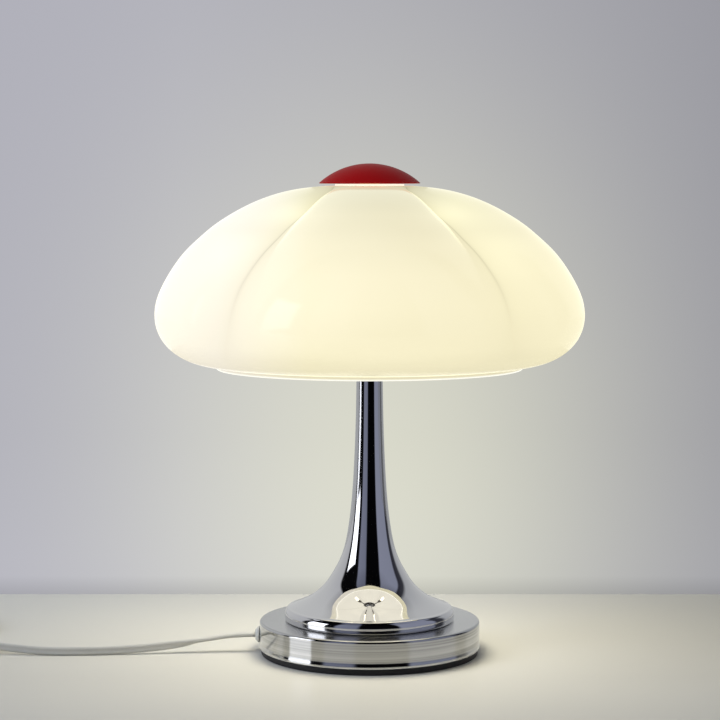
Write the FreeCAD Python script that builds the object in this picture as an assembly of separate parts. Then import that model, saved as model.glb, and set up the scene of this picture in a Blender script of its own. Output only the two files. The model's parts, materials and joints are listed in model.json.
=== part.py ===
"""Mushroom table lamp: chrome disc base, trumpet stem, three-light cluster, four-lobed opal shade, red cap.

Millimetres. The origin is on the surface that the lamp stands on, in the middle of the base. +Z is up,
-Y faces the viewer, and the cord leaves the base towards -X.
"""

import os
from math import atan2, cos, degrees, pi, radians, sin, sqrt, tan

import FreeCAD
import Part
from FreeCAD import Vector

# Base
base_radius = 77.4
base_bottom = 4.2
base_top = 23.5
base_edge = 2.2
base_sheet = 1.2
lip_edge = 0.6
wall_hole = 4.05
pad_radius = 76.4
pad_width = 10.0
pad_edge = 0.8
plate_thickness = 1.5
plate_bore = 12.0
weight_radius = 74.5
weight_chamfer = 1.5
nut_well = 14.0
nut_well_top = 15.0
lead_groove_width = 12.0
lead_groove_top = 16.0
lead_height = 12.5
screw_circle = 45.0
screw_azimuths = (90, 210, 330)

# Inside the base: the cord's clamp, the terminal block and the wires to the lamps
grommet_bore = 2.4
clamp_x = -60.0
clamp_pitch = 20.0
clamp_bottom = 7.6
clamp_size = (8.0, 28.0, 2.6)
block_corner = (-47.0, -9.0, 7.0)
block_size = (24.0, 18.0, 9.5)
block_ways = (-4.5, 4.5)
block_screw_rows = (-41.0, -29.0)
wire_radius = 1.4

# Stem: outer outline of the trumpet above its foot band, as (radius, height)
trumpet_outline = [
    (56.6, 32.6), (50.0, 34.8), (42.0, 39.2), (34.0, 46.2), (26.9, 54.9), (20.4, 67.3),
    (14.9, 89.1), (11.0, 131.5), (9.3, 186.5), (9.1, 262.0),
]
lip_slope = 0.36
foot_radius = 59.7
foot_flat = (25.0, 27.6)
foot_shoulder = (1.4, 31.5)
trumpet_wall = 1.2
rod_radius = 5.0
rod_bore = 3.4
rod_bottom = 8.4
thread_fit = 0.05
collar_drop = 8.0
collar_edge = 11.4
collar_bead = 11.9
washer_radius = 12.0
washer_height = 1.2
nut_flats = 14.0
nut_height = 5.0

# Cluster
hub_radius = 12.4
hub_wall = 2.2
hub_floor = 2.4
hub_bottom = 266.0
hub_height = 9.0
hub_lid = 3.0
arm_radius = 3.0
arm_wall = 0.8
arm_route = [(8.2, 271.5), (19.0, 271.5), (32.0, 288.0), (47.2, 283.1)]
arm_azimuths = {"left": 210.0, "right": 330.0, "back": 90.0}
holder_radius = 8.5
holder_length = 22.0
holder_pocket = 9.0
holder_neck = 4.2
pocket_radius = 6.8
bulb_foot_radius = 6.5
bulb_radius = 7.2
bulb_out = 30.0
pin_pitch = 9.0
bulb_pin_radius = 0.7
socket_bore = 1.1

# Shade: stations of its outside as (lobe radius, height, distance from the axis to the lobe's centre)
shade_stations = [
    (107.0, 203.5, 0.0), (120.1, 205.4, 4.0), (135.8, 212.3, 15.5), (145.7, 223.0, 37.0),
    (149.6, 235.6, 48.5), (148.3, 248.7, 52.5), (143.0, 261.3, 53.5), (136.1, 272.7, 55.5),
    (128.0, 283.1, 57.0), (118.7, 292.0, 57.0), (109.4, 299.9, 55.5), (96.5, 308.5, 52.0),
    (81.0, 316.6, 44.5), (65.0, 322.5, 35.5), (47.0, 326.4, 22.0), (30.5, 328.0, 0.0),
]
shade_wall = 3.0
collar_radius = 106.9
collar_bore = 104.0
collar_bottom = 200.9
shade_hole = 5.6

# Cap
cap_radius = 35.1
cap_rim = 330.2
cap_top = 343.6
cap_wall = 1.6
cap_chamfer = 0.5
boss_radius = 8.4
boss_wall = 1.6
gasket_thickness = 1.5
support_thickness = 2.0
support_radius = 28.5
gasket_radius = 27.5
cap_washer_radius = 24.0
cap_washer_thickness = 1.2

# Cord
cord_radius = 2.3
grommet_face = 80.5
stretch_route = [
    (-80.5, 0.0, 12.5), (-92.5, 0.0, 12.5), (-112.0, -1.6, 10.2), (-134.0, -4.0, 6.4), (-158.0, -7.5, 4.2),
    (-182.0, -10.5, 3.2), (-206.0, -12.5, 3.1), (-230.0, -12.0, 3.2), (-251.0, -9.5, 4.8), (-269.0, -6.2, 6.5),
]
lead_route = [
    (-328.0, 4.6, 6.5), (-342.0, 7.2, 6.2), (-361.2, 21.6, 4.8), (-371.9, 43.1, 3.7), (-371.9, 66.1, 3.7),
]
tail_route = [
    (-371.9, 75.3, 10.3), (-371.9, 85.5, 10.3), (-370.8, 98.5, 6.85), (-370.8, 109.0, 6.85),
]
switch_length = 62.0
switch_width = 26.0
switch_height = 17.0
switch_split = 6.5
switch_tilt = 7.0
switch_wall = 1.8
post_radius = 2.6
post_places = ((-17.0, 8.4), (17.0, -8.4))
rocker_half = 7.9
rocker_width = 10.4
axle_radius = 1.0
axle_depth = 1.8
contact_width = 4.0
contact_sheet = 0.8
coil_radius = 44.0
coil_step = 5.1
coil_half_turns = 5
coil_height = 3.7
coil_climb = 6.6
climb_inset = 4.4
tie_strap = 0.8
tie_width = 5.0
tie_gap = (0.4, 0.5)
plug_width = 35.3
plug_depth = 13.7
plug_length = 34.0
pin_gap = 18.6
pin_radius = 2.0
pin_length = 19.0
pin_tip = 1.2
pin_root = 8.0
pin_root_radius = 1.5
sleeve_radii = (3.4, 5.0)
sleeve_length = 12.0
plug_sections = ((10.0, 20.0, 10.0), (17.0, 30.0, 12.4), (plug_length, plug_width, plug_depth))


def revolved(points_or_edges):
    """A solid turned about Z from a closed outline in the XZ plane."""
    if isinstance(points_or_edges[0], tuple):
        corners = [Vector(r, 0, z) for r, z in points_or_edges]
        wire = Part.makePolygon(corners + corners[:1])
    else:
        wire = Part.Wire(points_or_edges)
    return Part.Face(wire).revolve(Vector(0, 0, 0), Vector(0, 0, 1), 360)


def line(a, b):
    return Part.LineSegment(Vector(a[0], 0, a[1]), Vector(b[0], 0, b[1])).toShape()


def arc(a, middle, b):
    return Part.Arc(*[Vector(r, 0, z) for r, z in (a, middle, b)]).toShape()


def disc(radius, bottom, height, x=0.0, y=0.0):
    return Part.makeCylinder(radius, height, Vector(x, y, bottom))


def ring(outer, inner, bottom, height):
    return disc(outer, bottom, height).cut(disc(inner, bottom - 1, height + 2))


def hexagon(across_flats, bottom, height, bore):
    corner = across_flats / sqrt(3)
    points = [Vector(corner * cos(k * pi / 3), corner * sin(k * pi / 3), bottom) for k in range(7)]
    body = Part.Face(Part.makePolygon(points)).extrude(Vector(0, 0, height))
    chamfered = revolved([
        (0, bottom), (across_flats / 2, bottom), (corner, bottom + 0.8),
        (corner, bottom + height - 0.8), (across_flats / 2, bottom + height), (0, bottom + height),
    ])
    return body.common(chamfered).cut(disc(bore, bottom - 1, height + 2))


def along(shape, start, direction):
    """Moves a shape made along +Z from the origin, so that it runs from start along direction."""
    shape.Placement = FreeCAD.Placement(start, FreeCAD.Rotation(Vector(0, 0, 1), direction))
    return shape


def rounded_route(points):
    """Edges of straight runs joined by tangent arcs, each as large as its two runs allow."""
    edges = []
    radii = []
    start = points[0]
    for before, corner, after in zip(points, points[1:], points[2:]):
        into = corner.sub(before)
        out = after.sub(corner)
        half = into.getAngle(out) / 2
        reach = 0.45 * min(into.Length, out.Length)
        radii.append(reach / tan(half))
        a = corner.sub(into.normalize().multiply(reach))
        b = corner.add(out.normalize().multiply(reach))
        towards = a.add(b).multiply(0.5).sub(corner).normalize()
        centre_gap = radii[-1] / cos(half) - radii[-1]
        middle = corner.add(towards.multiply(centre_gap))
        edges.append(Part.LineSegment(start, a).toShape())
        edges.append(Part.Arc(a, middle, b).toShape())
        start = b
    edges.append(Part.LineSegment(start, points[-1]).toShape())
    return edges, radii


def tube(edges, radius, bore=0.0):
    """A round solid swept along edges that follow on smoothly."""
    spine = Part.Wire(edges)
    first = edges[0]
    start = first.valueAt(first.FirstParameter)
    ahead = first.tangentAt(first.FirstParameter)
    outside = Part.Wire(Part.Circle(start, ahead, radius).toShape())
    solid = spine.makePipeShell([outside], True, False)
    if bore:
        inside = Part.Wire(Part.Circle(start, ahead, bore).toShape())
        solid = solid.cut(spine.makePipeShell([inside], True, False))
    return solid


def base_cover():
    """The drawn chrome disc, open below, with a rounded top edge and a hole for the grommet."""
    inner = base_radius - base_sheet
    under = base_top - base_sheet
    corner = base_edge * (1 - sqrt(0.5))
    inner_edge = base_edge - base_sheet
    inner_corner = inner_edge * (1 - sqrt(0.5))
    lip_corner = lip_edge * (1 - sqrt(0.5))
    bore = rod_radius + 1
    cover = revolved([
        line((bore, under), (bore, base_top)),
        line((bore, base_top), (base_radius - base_edge, base_top)),
        arc((base_radius - base_edge, base_top), (base_radius - corner, base_top - corner),
            (base_radius, base_top - base_edge)),
        line((base_radius, base_top - base_edge), (base_radius, base_bottom + lip_edge)),
        arc((base_radius, base_bottom + lip_edge), (base_radius - lip_corner, base_bottom + lip_corner),
            (base_radius - lip_edge, base_bottom)),
        line((base_radius - lip_edge, base_bottom), (inner, base_bottom)),
        line((inner, base_bottom), (inner, under - inner_edge)),
        arc((inner, under - inner_edge), (inner - inner_corner, under - inner_corner), (inner - inner_edge, under)),
        line((inner - inner_edge, under), (bore, under)),
    ])
    start = Vector(-base_radius - base_sheet, 0, lead_height)
    return cover.cut(Part.makeCylinder(wall_hole, 4 * base_sheet, start, Vector(1, 0, 0)))


def weight_and_plate():
    """The iron disc with its wells and the cord's groove, and the plate screwed on below it."""
    under = base_top - base_sheet
    plate_top = base_bottom + plate_thickness
    plate = ring(base_radius - base_sheet - 0.4, plate_bore, base_bottom, plate_thickness)
    weight = disc(weight_radius, plate_top, under - plate_top)
    weight = weight.makeChamfer(weight_chamfer, [e for e in weight.Edges if e.Closed and len(e.Vertexes) == 1])
    weight = weight.cut(disc(rod_radius + 0.4, 0, base_top))
    weight = weight.cut(disc(nut_well, 0, nut_well_top))
    groove = lead_groove_width
    weight = weight.cut(Part.makeBox(base_radius, groove, lead_groove_top, Vector(-base_radius, -groove / 2, 0)))
    block_well = [size + 4.0 for size in block_size[:2]]
    weight = weight.cut(Part.makeBox(*block_well, lead_groove_top + 0.6,
                                     Vector(block_corner[0] - 1, block_corner[1] - 2, 0)))
    clamp_well = (clamp_size[0] + 2, clamp_size[1] + 2, clamp_bottom + clamp_size[2])
    weight = weight.cut(Part.makeBox(*clamp_well, Vector(clamp_x - clamp_well[0] / 2, -clamp_well[1] / 2, 0)))
    head_height = 2.0
    shank = 1.95
    reach = 9.0
    screws = []
    for angle in screw_azimuths:
        x, y = screw_circle * cos(radians(angle)), screw_circle * sin(radians(angle))
        weight = weight.cut(disc(shank + 0.05, 0, base_bottom + reach + 0.8, x, y))
        plate = plate.cut(disc(shank + 0.25, 0, base_bottom + reach, x, y))
        head = disc(3.6, base_bottom - head_height, head_height, x, y)
        head = head.makeFillet(0.7, [e for e in head.Edges if e.BoundBox.ZMax < base_bottom - head_height + 0.1])
        slot = Part.makeBox(8, 0.9, 0.8, Vector(x - 4, y - 0.45, base_bottom - head_height))
        screws.append(head.cut(slot).fuse(disc(shank, base_bottom, reach, x, y)))
    for side in (-1, 1):
        weight = weight.cut(disc(1.5, 0, 18, clamp_x, side * clamp_pitch / 2))
    notch = (4.0, groove, lead_height - 2.5)
    plate = plate.cut(Part.makeBox(*notch, Vector(-base_radius - 0.6, -groove / 2, 0)))
    return weight, plate, Part.makeCompound(screws)


def base():
    """The chrome disc, what fills and closes it, and its rubber ring."""
    weight, plate, screws = weight_and_plate()
    pad = ring(pad_radius, pad_radius - pad_width, 0, base_bottom)
    edges = [e for e in pad.Edges if e.BoundBox.ZMax < 0.01 and e.BoundBox.XMax > pad_radius - 1]
    return {
        "base_cover": base_cover(),
        "base_weight": weight,
        "base_plate": plate,
        "plate_screws": screws,
        "base_pad": pad.makeFillet(pad_edge, edges),
    }


def grommet():
    """A bush with a flange on both sides of the disc's wall, turned about the cord."""
    inside = base_radius - 2.7
    outside = base_radius + 0.15
    groove = wall_hole - 0.1
    flange = 5.5
    outline = [
        (grommet_bore, inside), (flange - 0.6, inside), (flange - 0.2, inside + 0.6),
        (flange - 0.9, base_radius - 1.35), (groove, base_radius - 1.35), (groove, outside), (flange, outside),
        (flange, base_radius + 1.1), (4.6, base_radius + 2.2), (3.2, grommet_face), (grommet_bore, grommet_face),
    ]
    return along(revolved(outline), Vector(0, 0, lead_height), Vector(-1, 0, 0))


def clamp():
    """A saddle across the cord and its two screws, whose heads are below it."""
    length, width, height = clamp_size
    saddle = Part.makeBox(length, width, height, Vector(clamp_x - length / 2, -width / 2, clamp_bottom))
    saddle = saddle.cut(Part.makeCylinder(cord_radius, length + 4, Vector(clamp_x - length / 2 - 2, 0, lead_height),
                                          Vector(1, 0, 0)))
    head_bottom = clamp_bottom - 1.6
    slot = 0.7
    screws = []
    for side in (-1, 1):
        y = side * clamp_pitch / 2
        saddle = saddle.cut(disc(1.6, 0, 18, clamp_x, y))
        head = disc(2.8, head_bottom, 1.6, clamp_x, y)
        head = head.cut(Part.makeBox(length, slot, slot, Vector(clamp_x - length / 2, y - slot / 2, head_bottom)))
        screws.append(head.fuse(disc(1.45, clamp_bottom, 9.0, clamp_x, y)))
    return saddle, Part.makeCompound(screws)


def terminals():
    """A block with two ways, each closed by two screws from below."""
    x0, y0, bottom = block_corner
    block = Part.makeBox(*block_size, Vector(x0, y0, bottom))
    block = block.makeFillet(0.8, [e for e in block.Edges if e.BoundBox.ZLength > block_size[2] - 0.5])
    head_bottom = bottom + 0.8
    screw_radius = 1.6
    slot = (0.6, 0.7)
    screws = []
    for y in block_ways:
        block = block.cut(Part.makeCylinder(1.8, block_size[0], Vector(x0, y, lead_height), Vector(1, 0, 0)))
        for x in block_screw_rows:
            block = block.cut(disc(screw_radius + 0.1, bottom - 1, lead_height - bottom + 1, x, y))
            head = disc(screw_radius, head_bottom, 4.0, x, y)
            screws.append(head.cut(Part.makeBox(4, *slot, Vector(x - 2, y - slot[0] / 2, head_bottom))))
    return block, Part.makeCompound(screws)


def supply():
    """What the cord passes and reaches inside the base: grommet, clamp, terminals and wiring."""
    saddle, clamp_screws = clamp()
    block, block_screws = terminals()
    block_end = block_corner[0] + block_size[0]
    trunk = [Vector(block_end, 0, 9.5), Vector(-17, 0, 9.5), Vector(-9, 0, 7), Vector(0, 0, 7), Vector(0, 0, 16)]
    wire_edges, _ = rounded_route(trunk)
    wire_edges.append(Part.LineSegment(trunk[-1], Vector(0, 0, hub_bottom + 3)).toShape())
    return {
        "cord_grommet": grommet(),
        "inner_cord": Part.makeCylinder(cord_radius, grommet_face + block_corner[0],
                                        Vector(-grommet_face, 0, lead_height), Vector(1, 0, 0)),
        "cord_clamp": saddle,
        "clamp_screws": clamp_screws,
        "terminal_block": block,
        "terminal_screws": block_screws,
        "lamp_wiring": tube(wire_edges, wire_radius),
    }


def offset_outline(points, tangents, distance):
    """Points moved square to the outline, towards the axis side."""
    moved = []
    for (r, z), t in zip(points, tangents):
        moved.append(Vector(r - distance * t.z, 0, z + distance * t.x))
    return moved


def trumpet():
    """The spun trumpet: its outline, the same outline a sheet's thickness in, and the upright foot band."""
    start_way = Vector(-1, 0, lip_slope)
    outer = Part.BSplineCurve()
    outer.interpolate([Vector(r, 0, z) for r, z in trumpet_outline],
                      InitialTangent=start_way, FinalTangent=Vector(0, 0, 1))
    tangents = [outer.tangent(outer.parameter(Vector(r, 0, z)))[0] for r, z in trumpet_outline]
    inner = Part.BSplineCurve()
    inner_points = offset_outline(trumpet_outline, tangents, trumpet_wall)
    inner.interpolate(inner_points, InitialTangent=start_way, FinalTangent=Vector(0, 0, 1))
    top_in, lip_in = inner_points[-1], inner_points[0]
    top_out, lip_out = trumpet_outline[-1][0], trumpet_outline[0]
    foot = foot_radius
    flat_bottom, flat_top = foot_flat
    shoulder = (foot - foot_shoulder[0], foot_shoulder[1])
    shoulder_bulge = (foot - 0.35, (flat_top + shoulder[1]) / 2 + 0.1)
    lip_bulge = (foot - 2.1, 32.35)
    solid = revolved([
        line((foot - 1.3, base_top), (foot - 2.6, base_top)),
        line((foot - 2.6, base_top), (foot - 3.2, lip_in.z - 1.0)),
        line((foot - 3.2, lip_in.z - 1.0), (lip_in.x, lip_in.z)),
        inner.toShape(),
        line((top_in.x, top_in.z), (top_out, top_in.z)),
        outer.toShape().reversed(),
        arc(lip_out, lip_bulge, shoulder),
        arc(shoulder, shoulder_bulge, (foot, flat_top)),
        line((foot, flat_top), (foot, flat_bottom)),
        arc((foot, flat_bottom), (foot - 0.4, base_top + 0.45), (foot - 1.3, base_top)),
    ])
    return solid, top_in


def stem():
    """The trumpet, the collar in its top, and the threaded tube that clamps it."""
    solid, top_in = trumpet()
    fit = rod_radius + 2 * thread_fit
    collar = revolved([
        (fit, top_in.z - collar_drop), (top_in.x - 0.15, top_in.z - collar_drop), (top_in.x - 0.15, top_in.z),
        (collar_edge, top_in.z), (collar_bead, top_in.z + 0.6), (collar_edge, hub_bottom), (fit, hub_bottom),
    ])
    washer_bottom = nut_well_top - washer_height
    return {
        "trumpet_stem": solid,
        "stem_collar": collar,
        "stem_rod": ring(rod_radius, rod_bore, rod_bottom, hub_bottom + 5.0 - rod_bottom),
        "rod_washer": ring(washer_radius, fit, washer_bottom, washer_height),
        "rod_nut": hexagon(nut_flats, washer_bottom - nut_height, nut_height, rod_radius + thread_fit),
    }


def turned(shape, azimuth):
    """A copy of a shape made in the XZ plane, turned about Z to its azimuth."""
    copy = shape.copy()
    copy.rotate(Vector(0, 0, 0), Vector(0, 0, 1), azimuth)
    return copy


def arm():
    edges, _ = rounded_route([Vector(r, 0, z) for r, z in arm_route])
    return tube(edges, arm_radius, arm_radius - arm_wall)


def holder_axis():
    """Where the holder starts, and the way that it and its bulb point."""
    before, end = (Vector(r, 0, z) for r, z in arm_route[-2:])
    return end, end.sub(before).normalize()


def holder():
    """Ceramic holder: a neck on the arm's end, a barrel, a pocket for the bulb's foot and two sockets."""
    start, ahead = holder_axis()
    mouth = holder_length
    pocket_floor = mouth - holder_pocket
    neck = 5.2
    body = revolved([
        (0, 0), (neck, 0), (neck, holder_neck - 1.2), (holder_radius - 0.6, holder_neck),
        (holder_radius, holder_neck + 1.2), (holder_radius, mouth - 1.2), (holder_radius - 1.2, mouth),
        (pocket_radius, mouth), (pocket_radius, pocket_floor), (0, pocket_floor),
    ])
    for side in (-1, 1):
        body = body.cut(disc(socket_bore, pocket_floor - 8.0, 9.0, 0, side * pin_pitch / 2))
    return along(body, start, ahead)


def bulb():
    """Glass capsule on a ceramic foot with two pins."""
    start, ahead = holder_axis()
    foot = 0.3
    shoulder = holder_pocket + 2.5
    tip = holder_pocket + bulb_out
    near_tip = tip - bulb_radius
    bend = bulb_radius * sqrt(0.5)
    body = revolved([
        line((0, foot), (bulb_foot_radius, foot)),
        line((bulb_foot_radius, foot), (bulb_foot_radius, shoulder)),
        line((bulb_foot_radius, shoulder), (bulb_radius, shoulder + 1.0)),
        line((bulb_radius, shoulder + 1.0), (bulb_radius, near_tip)),
        arc((bulb_radius, near_tip), (bend, near_tip + bend), (0, tip)),
        line((0, tip), (0, foot)),
    ])
    for side in (-1, 1):
        body = body.fuse(disc(bulb_pin_radius, -7.0, 8.0, 0, side * pin_pitch / 2))
    seat = start.add(Vector(ahead).multiply(holder_length - holder_pocket))
    return along(body, seat, ahead)


def hub():
    """A cup that the three arms enter from the side, and the lid that closes it."""
    top = hub_bottom + hub_height
    floor = hub_bottom + hub_floor
    fit = rod_radius + thread_fit
    inside = hub_radius - hub_wall
    cup = revolved([
        (fit, hub_bottom), (hub_radius - 1, hub_bottom), (hub_radius, hub_bottom + 1), (hub_radius, top),
        (inside, top), (inside, floor + 0.8), (inside - 1, floor), (fit, floor),
    ])
    lid = revolved([
        (fit, top), (hub_radius, top), (hub_radius, top + 1.2), (hub_radius - 2.5, top + hub_lid),
        (fit, top + hub_lid),
    ])
    start_r, start_z = arm_route[0]
    bore = Part.makeCylinder(arm_radius, hub_radius, Vector(start_r, 0, start_z), Vector(1, 0, 0))
    for azimuth in arm_azimuths.values():
        cup = cup.cut(turned(bore, azimuth))
        lid = lid.cut(turned(bore, azimuth))
    return cup, lid


def cluster():
    """Hub, three arms, three holders and three bulbs."""
    one_arm = arm()
    one_holder = holder()
    one_bulb = bulb()
    pieces = {}
    for side, azimuth in arm_azimuths.items():
        pieces["arm_" + side] = turned(one_arm, azimuth)
        pieces["holder_" + side] = turned(one_holder, azimuth)
        pieces["bulb_" + side] = turned(one_bulb, azimuth)
    pieces["hub_body"], pieces["hub_cover"] = hub()
    return pieces


def lobed_section(radius, height, offset):
    """A closed wire of four arcs, one for each lobe, whose ends meet on the diagonals."""
    arcs = []
    bulge = radius - offset
    crease = offset * sqrt(0.5) + sqrt(bulge ** 2 - offset ** 2 / 2)
    for k in range(4):
        azimuth = pi / 2 * k
        ends = [Vector(crease * cos(azimuth + a), crease * sin(azimuth + a), height) for a in (-pi / 4, pi / 4)]
        middle = Vector(radius * cos(azimuth), radius * sin(azimuth), height)
        arcs.append(Part.Arc(ends[0], middle, ends[1]).toShape())
    return Part.Wire(arcs)


def lobed_solid(stations):
    return Part.makeLoft([lobed_section(*station) for station in stations], True, False)


def inner_stations():
    """The shade's stations moved inwards by the wall's thickness, square to the lobe's outline."""
    spline = Part.BSplineCurve()
    points = [Vector(r, 0, z) for r, z, _ in shade_stations]
    spline.interpolate(points, InitialTangent=Vector(1, 0, 0.05), FinalTangent=Vector(-1, 0, 0))
    moved = []
    for point, station in zip(points, shade_stations):
        t = spline.tangent(spline.parameter(point))[0]
        moved.append((point.x - shade_wall * t.z, point.z + shade_wall * t.x, station[2]))
    return moved


def shade():
    """The moulded shade: a lobed shell with a straight collar round its opening and a hole in its top."""
    top = shade_stations[-1][1]
    outside = lobed_solid(shade_stations)
    inside = lobed_solid(inner_stations())
    collar = disc(collar_radius, collar_bottom, 4.0)
    opening = disc(collar_bore, collar_bottom - 5, 14.0)
    shell = outside.fuse(collar).cut(inside.fuse(opening))
    return shell.cut(disc(shade_hole, top - 20, 40))


def cap():
    """The red dome, hollow below, with a boss in its middle for the thread's insert."""
    foot = shade_stations[-1][1] + cap_washer_thickness + 0.2
    rise = cap_top - cap_rim
    ball = (cap_radius ** 2 + rise ** 2) / (2 * rise)
    centre = cap_top - ball
    inner_ball = ball - cap_wall
    rim_in = sqrt(inner_ball ** 2 - (cap_rim - centre) ** 2)
    boss_top = centre + sqrt(inner_ball ** 2 - boss_radius ** 2)
    bore = boss_radius - boss_wall
    middle = (cap_radius / 2, centre + sqrt(ball ** 2 - cap_radius ** 2 / 4))
    inner_r = (rim_in + boss_radius) / 2
    inner_middle = (inner_r, centre + sqrt(inner_ball ** 2 - inner_r ** 2))
    return revolved([
        line((0, boss_top), (0, cap_top)),
        arc((0, cap_top), middle, (cap_radius, cap_rim)),
        line((cap_radius, cap_rim), (cap_radius - cap_chamfer, cap_rim - cap_chamfer)),
        line((cap_radius - cap_chamfer, cap_rim - cap_chamfer), (rim_in, cap_rim)),
        arc((rim_in, cap_rim), inner_middle, (boss_radius, boss_top)),
        line((boss_radius, boss_top), (boss_radius, foot)),
        line((boss_radius, foot), (bore, foot)),
        line((bore, foot), (bore, boss_top)),
        line((bore, boss_top), (0, boss_top)),
    ])


def crown():
    """What carries the shade at its top, and the cap that holds it down."""
    top = shade_stations[-1][1]
    support_top = top - shade_wall - gasket_thickness
    support_bottom = support_top - support_thickness
    rod_foot = hub_bottom + hub_height + 0.2
    rod_top = cap_top - 5.6
    insert_foot = top + cap_washer_thickness + 0.2
    fit = rod_radius + 2 * thread_fit
    return {
        "top_rod": ring(rod_radius, rod_bore, rod_foot, rod_top - rod_foot),
        "plate_nut": hexagon(nut_flats, support_bottom - nut_height, nut_height, rod_radius + thread_fit),
        "shade_plate": ring(support_radius, fit, support_bottom, support_thickness),
        "shade_gasket": ring(gasket_radius, fit + 0.1, support_top, gasket_thickness),
        "cap_washer": ring(cap_washer_radius, fit + 0.5, top, cap_washer_thickness),
        "cap": cap(),
        "cap_insert": ring(boss_radius - boss_wall, rod_radius + 0.08, insert_foot, rod_top + 0.2 - insert_foot),
    }


def rounded_box(length, width, height, bottom, corner, edge):
    """A box with rounded upright corners and a rounded top edge, centred on Z."""
    box = Part.makeBox(length, width, height, Vector(-length / 2, -width / 2, bottom))
    box = box.makeFillet(corner, [e for e in box.Edges if e.BoundBox.ZLength > height - 0.01])
    if edge:
        box = box.makeFillet(edge, [e for e in box.Edges if e.BoundBox.ZMin > bottom + height - 0.01])
    return box


def switch_place(shape):
    """Puts a shape made at the origin, lengthwise on X, between the two cord ends that the switch joins."""
    a, b = Vector(*stretch_route[-1]), Vector(*lead_route[0])
    shape.rotate(Vector(0, 0, 0), Vector(0, 0, 1), degrees(atan2(a.y - b.y, a.x - b.x)))
    shape.translate(Vector((a.x + b.x) / 2, (a.y + b.y) / 2, 0))
    return shape


def switch_shells():
    """The two shells, split where the cord passes, with two posts for the screws that hold them together."""
    wall = switch_wall
    inner_size = [size - 2 * wall for size in (switch_length, switch_width, switch_height)]
    full = rounded_box(switch_length, switch_width, switch_height, 0, 8.0, 3.5)
    shell = full.cut(rounded_box(*inner_size, wall, 6.2, 1.7))
    lower_half = Part.makeBox(90, 60, switch_split, Vector(-45, -30, 0))
    lower = shell.common(lower_half)
    upper = shell.cut(lower_half)
    shank = 1.25
    head_radius = 2.2
    head_bottom = 0.5
    head_height = 1.5
    slot = 0.6
    screws = []
    for x, y in post_places:
        post = disc(post_radius, wall, inner_size[2], x, y)
        lower = lower.fuse(post.common(lower_half)).cut(disc(head_radius + 0.1, -1, head_bottom + 2.5, x, y))
        lower = lower.cut(disc(shank + 0.05, -1, 20, x, y))
        upper = upper.fuse(post.cut(lower_half)).cut(disc(shank + 0.05, 0, 14.5, x, y))
        head = disc(head_radius, head_bottom, head_height, x, y)
        head = head.cut(Part.makeBox(6, slot, slot, Vector(x - 3, y - slot / 2, head_bottom)))
        screws.append(head.fuse(disc(shank, head_bottom + head_height, 11.5, x, y)))
    passage = Part.makeCylinder(cord_radius + 0.1, 90, Vector(-45, 0, switch_split), Vector(1, 0, 0))
    return lower.cut(passage), upper.cut(passage), Part.makeCompound(screws)


def rocker():
    """The rocker on its axle, its axis at the origin along Y, tilted to one side."""
    half = rocker_half
    high, waist, low, keel = 2.2, 0.9, -2.0, -4.4
    outline = [
        arc((-half, high), (0, waist), (half, high)),
        line((half, high), (half, low)),
        line((half, low), (high, keel)),
        line((high, keel), (-high, keel)),
        line((-high, keel), (-half, low)),
        line((-half, low), (-half, high)),
    ]
    body = Part.Face(Part.Wire(outline)).extrude(Vector(0, rocker_width, 0))
    body.translate(Vector(0, -rocker_width / 2, 0))
    body = body.makeFillet(0.6, [e for e in body.Edges if e.BoundBox.ZMin > 0.8 and e.BoundBox.XLength < 1])
    axle = rocker_width + 2.2
    body = body.fuse(Part.makeCylinder(axle_radius, axle, Vector(0, -axle / 2, 0), Vector(0, 1, 0)))
    body.rotate(Vector(0, 0, 0), Vector(0, 1, 0), -switch_tilt)
    return body


def switch():
    """In-line switch on the cord: two shells, a rocker on its own axle, contacts and two screws."""
    lower, upper, screws = switch_shells()
    axle_height = switch_height - axle_depth
    skirt_foot = switch_height - 8.5
    opening = (17.0, 11.0, 12.0)
    skirt = Part.makeBox(opening[0] + 3, opening[1] + 3, 7.5,
                         Vector(-opening[0] / 2 - 1.5, -opening[1] / 2 - 1.5, skirt_foot))
    upper = upper.fuse(skirt).cut(Part.makeBox(*opening, Vector(-opening[0] / 2, -opening[1] / 2, skirt_foot - 1)))
    upper = upper.cut(Part.makeCylinder(axle_radius + thread_fit, opening[1] + 2,
                                        Vector(0, -opening[1] / 2 - 1, axle_height), Vector(0, 1, 0)))
    lever = rocker()
    lever.translate(Vector(0, 0, axle_height))
    strip_length = 10.0
    contacts = []
    for side in (-1, 1):
        strip = Part.makeBox(strip_length, contact_width, contact_sheet,
                             Vector(side * 9 - strip_length / 2, -contact_width / 2, switch_wall))
        post = Part.makeBox(contact_sheet, contact_width, contact_width,
                            Vector(side * 13.6 - contact_sheet / 2, -contact_width / 2, switch_wall))
        contacts.append(strip.fuse(post))
    pieces = {
        "switch_base": lower,
        "switch_cover": upper,
        "switch_rocker": lever,
        "switch_contacts": Part.makeCompound(contacts),
        "switch_screws": screws,
    }
    return {name: switch_place(shape) for name, shape in pieces.items()}


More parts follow.
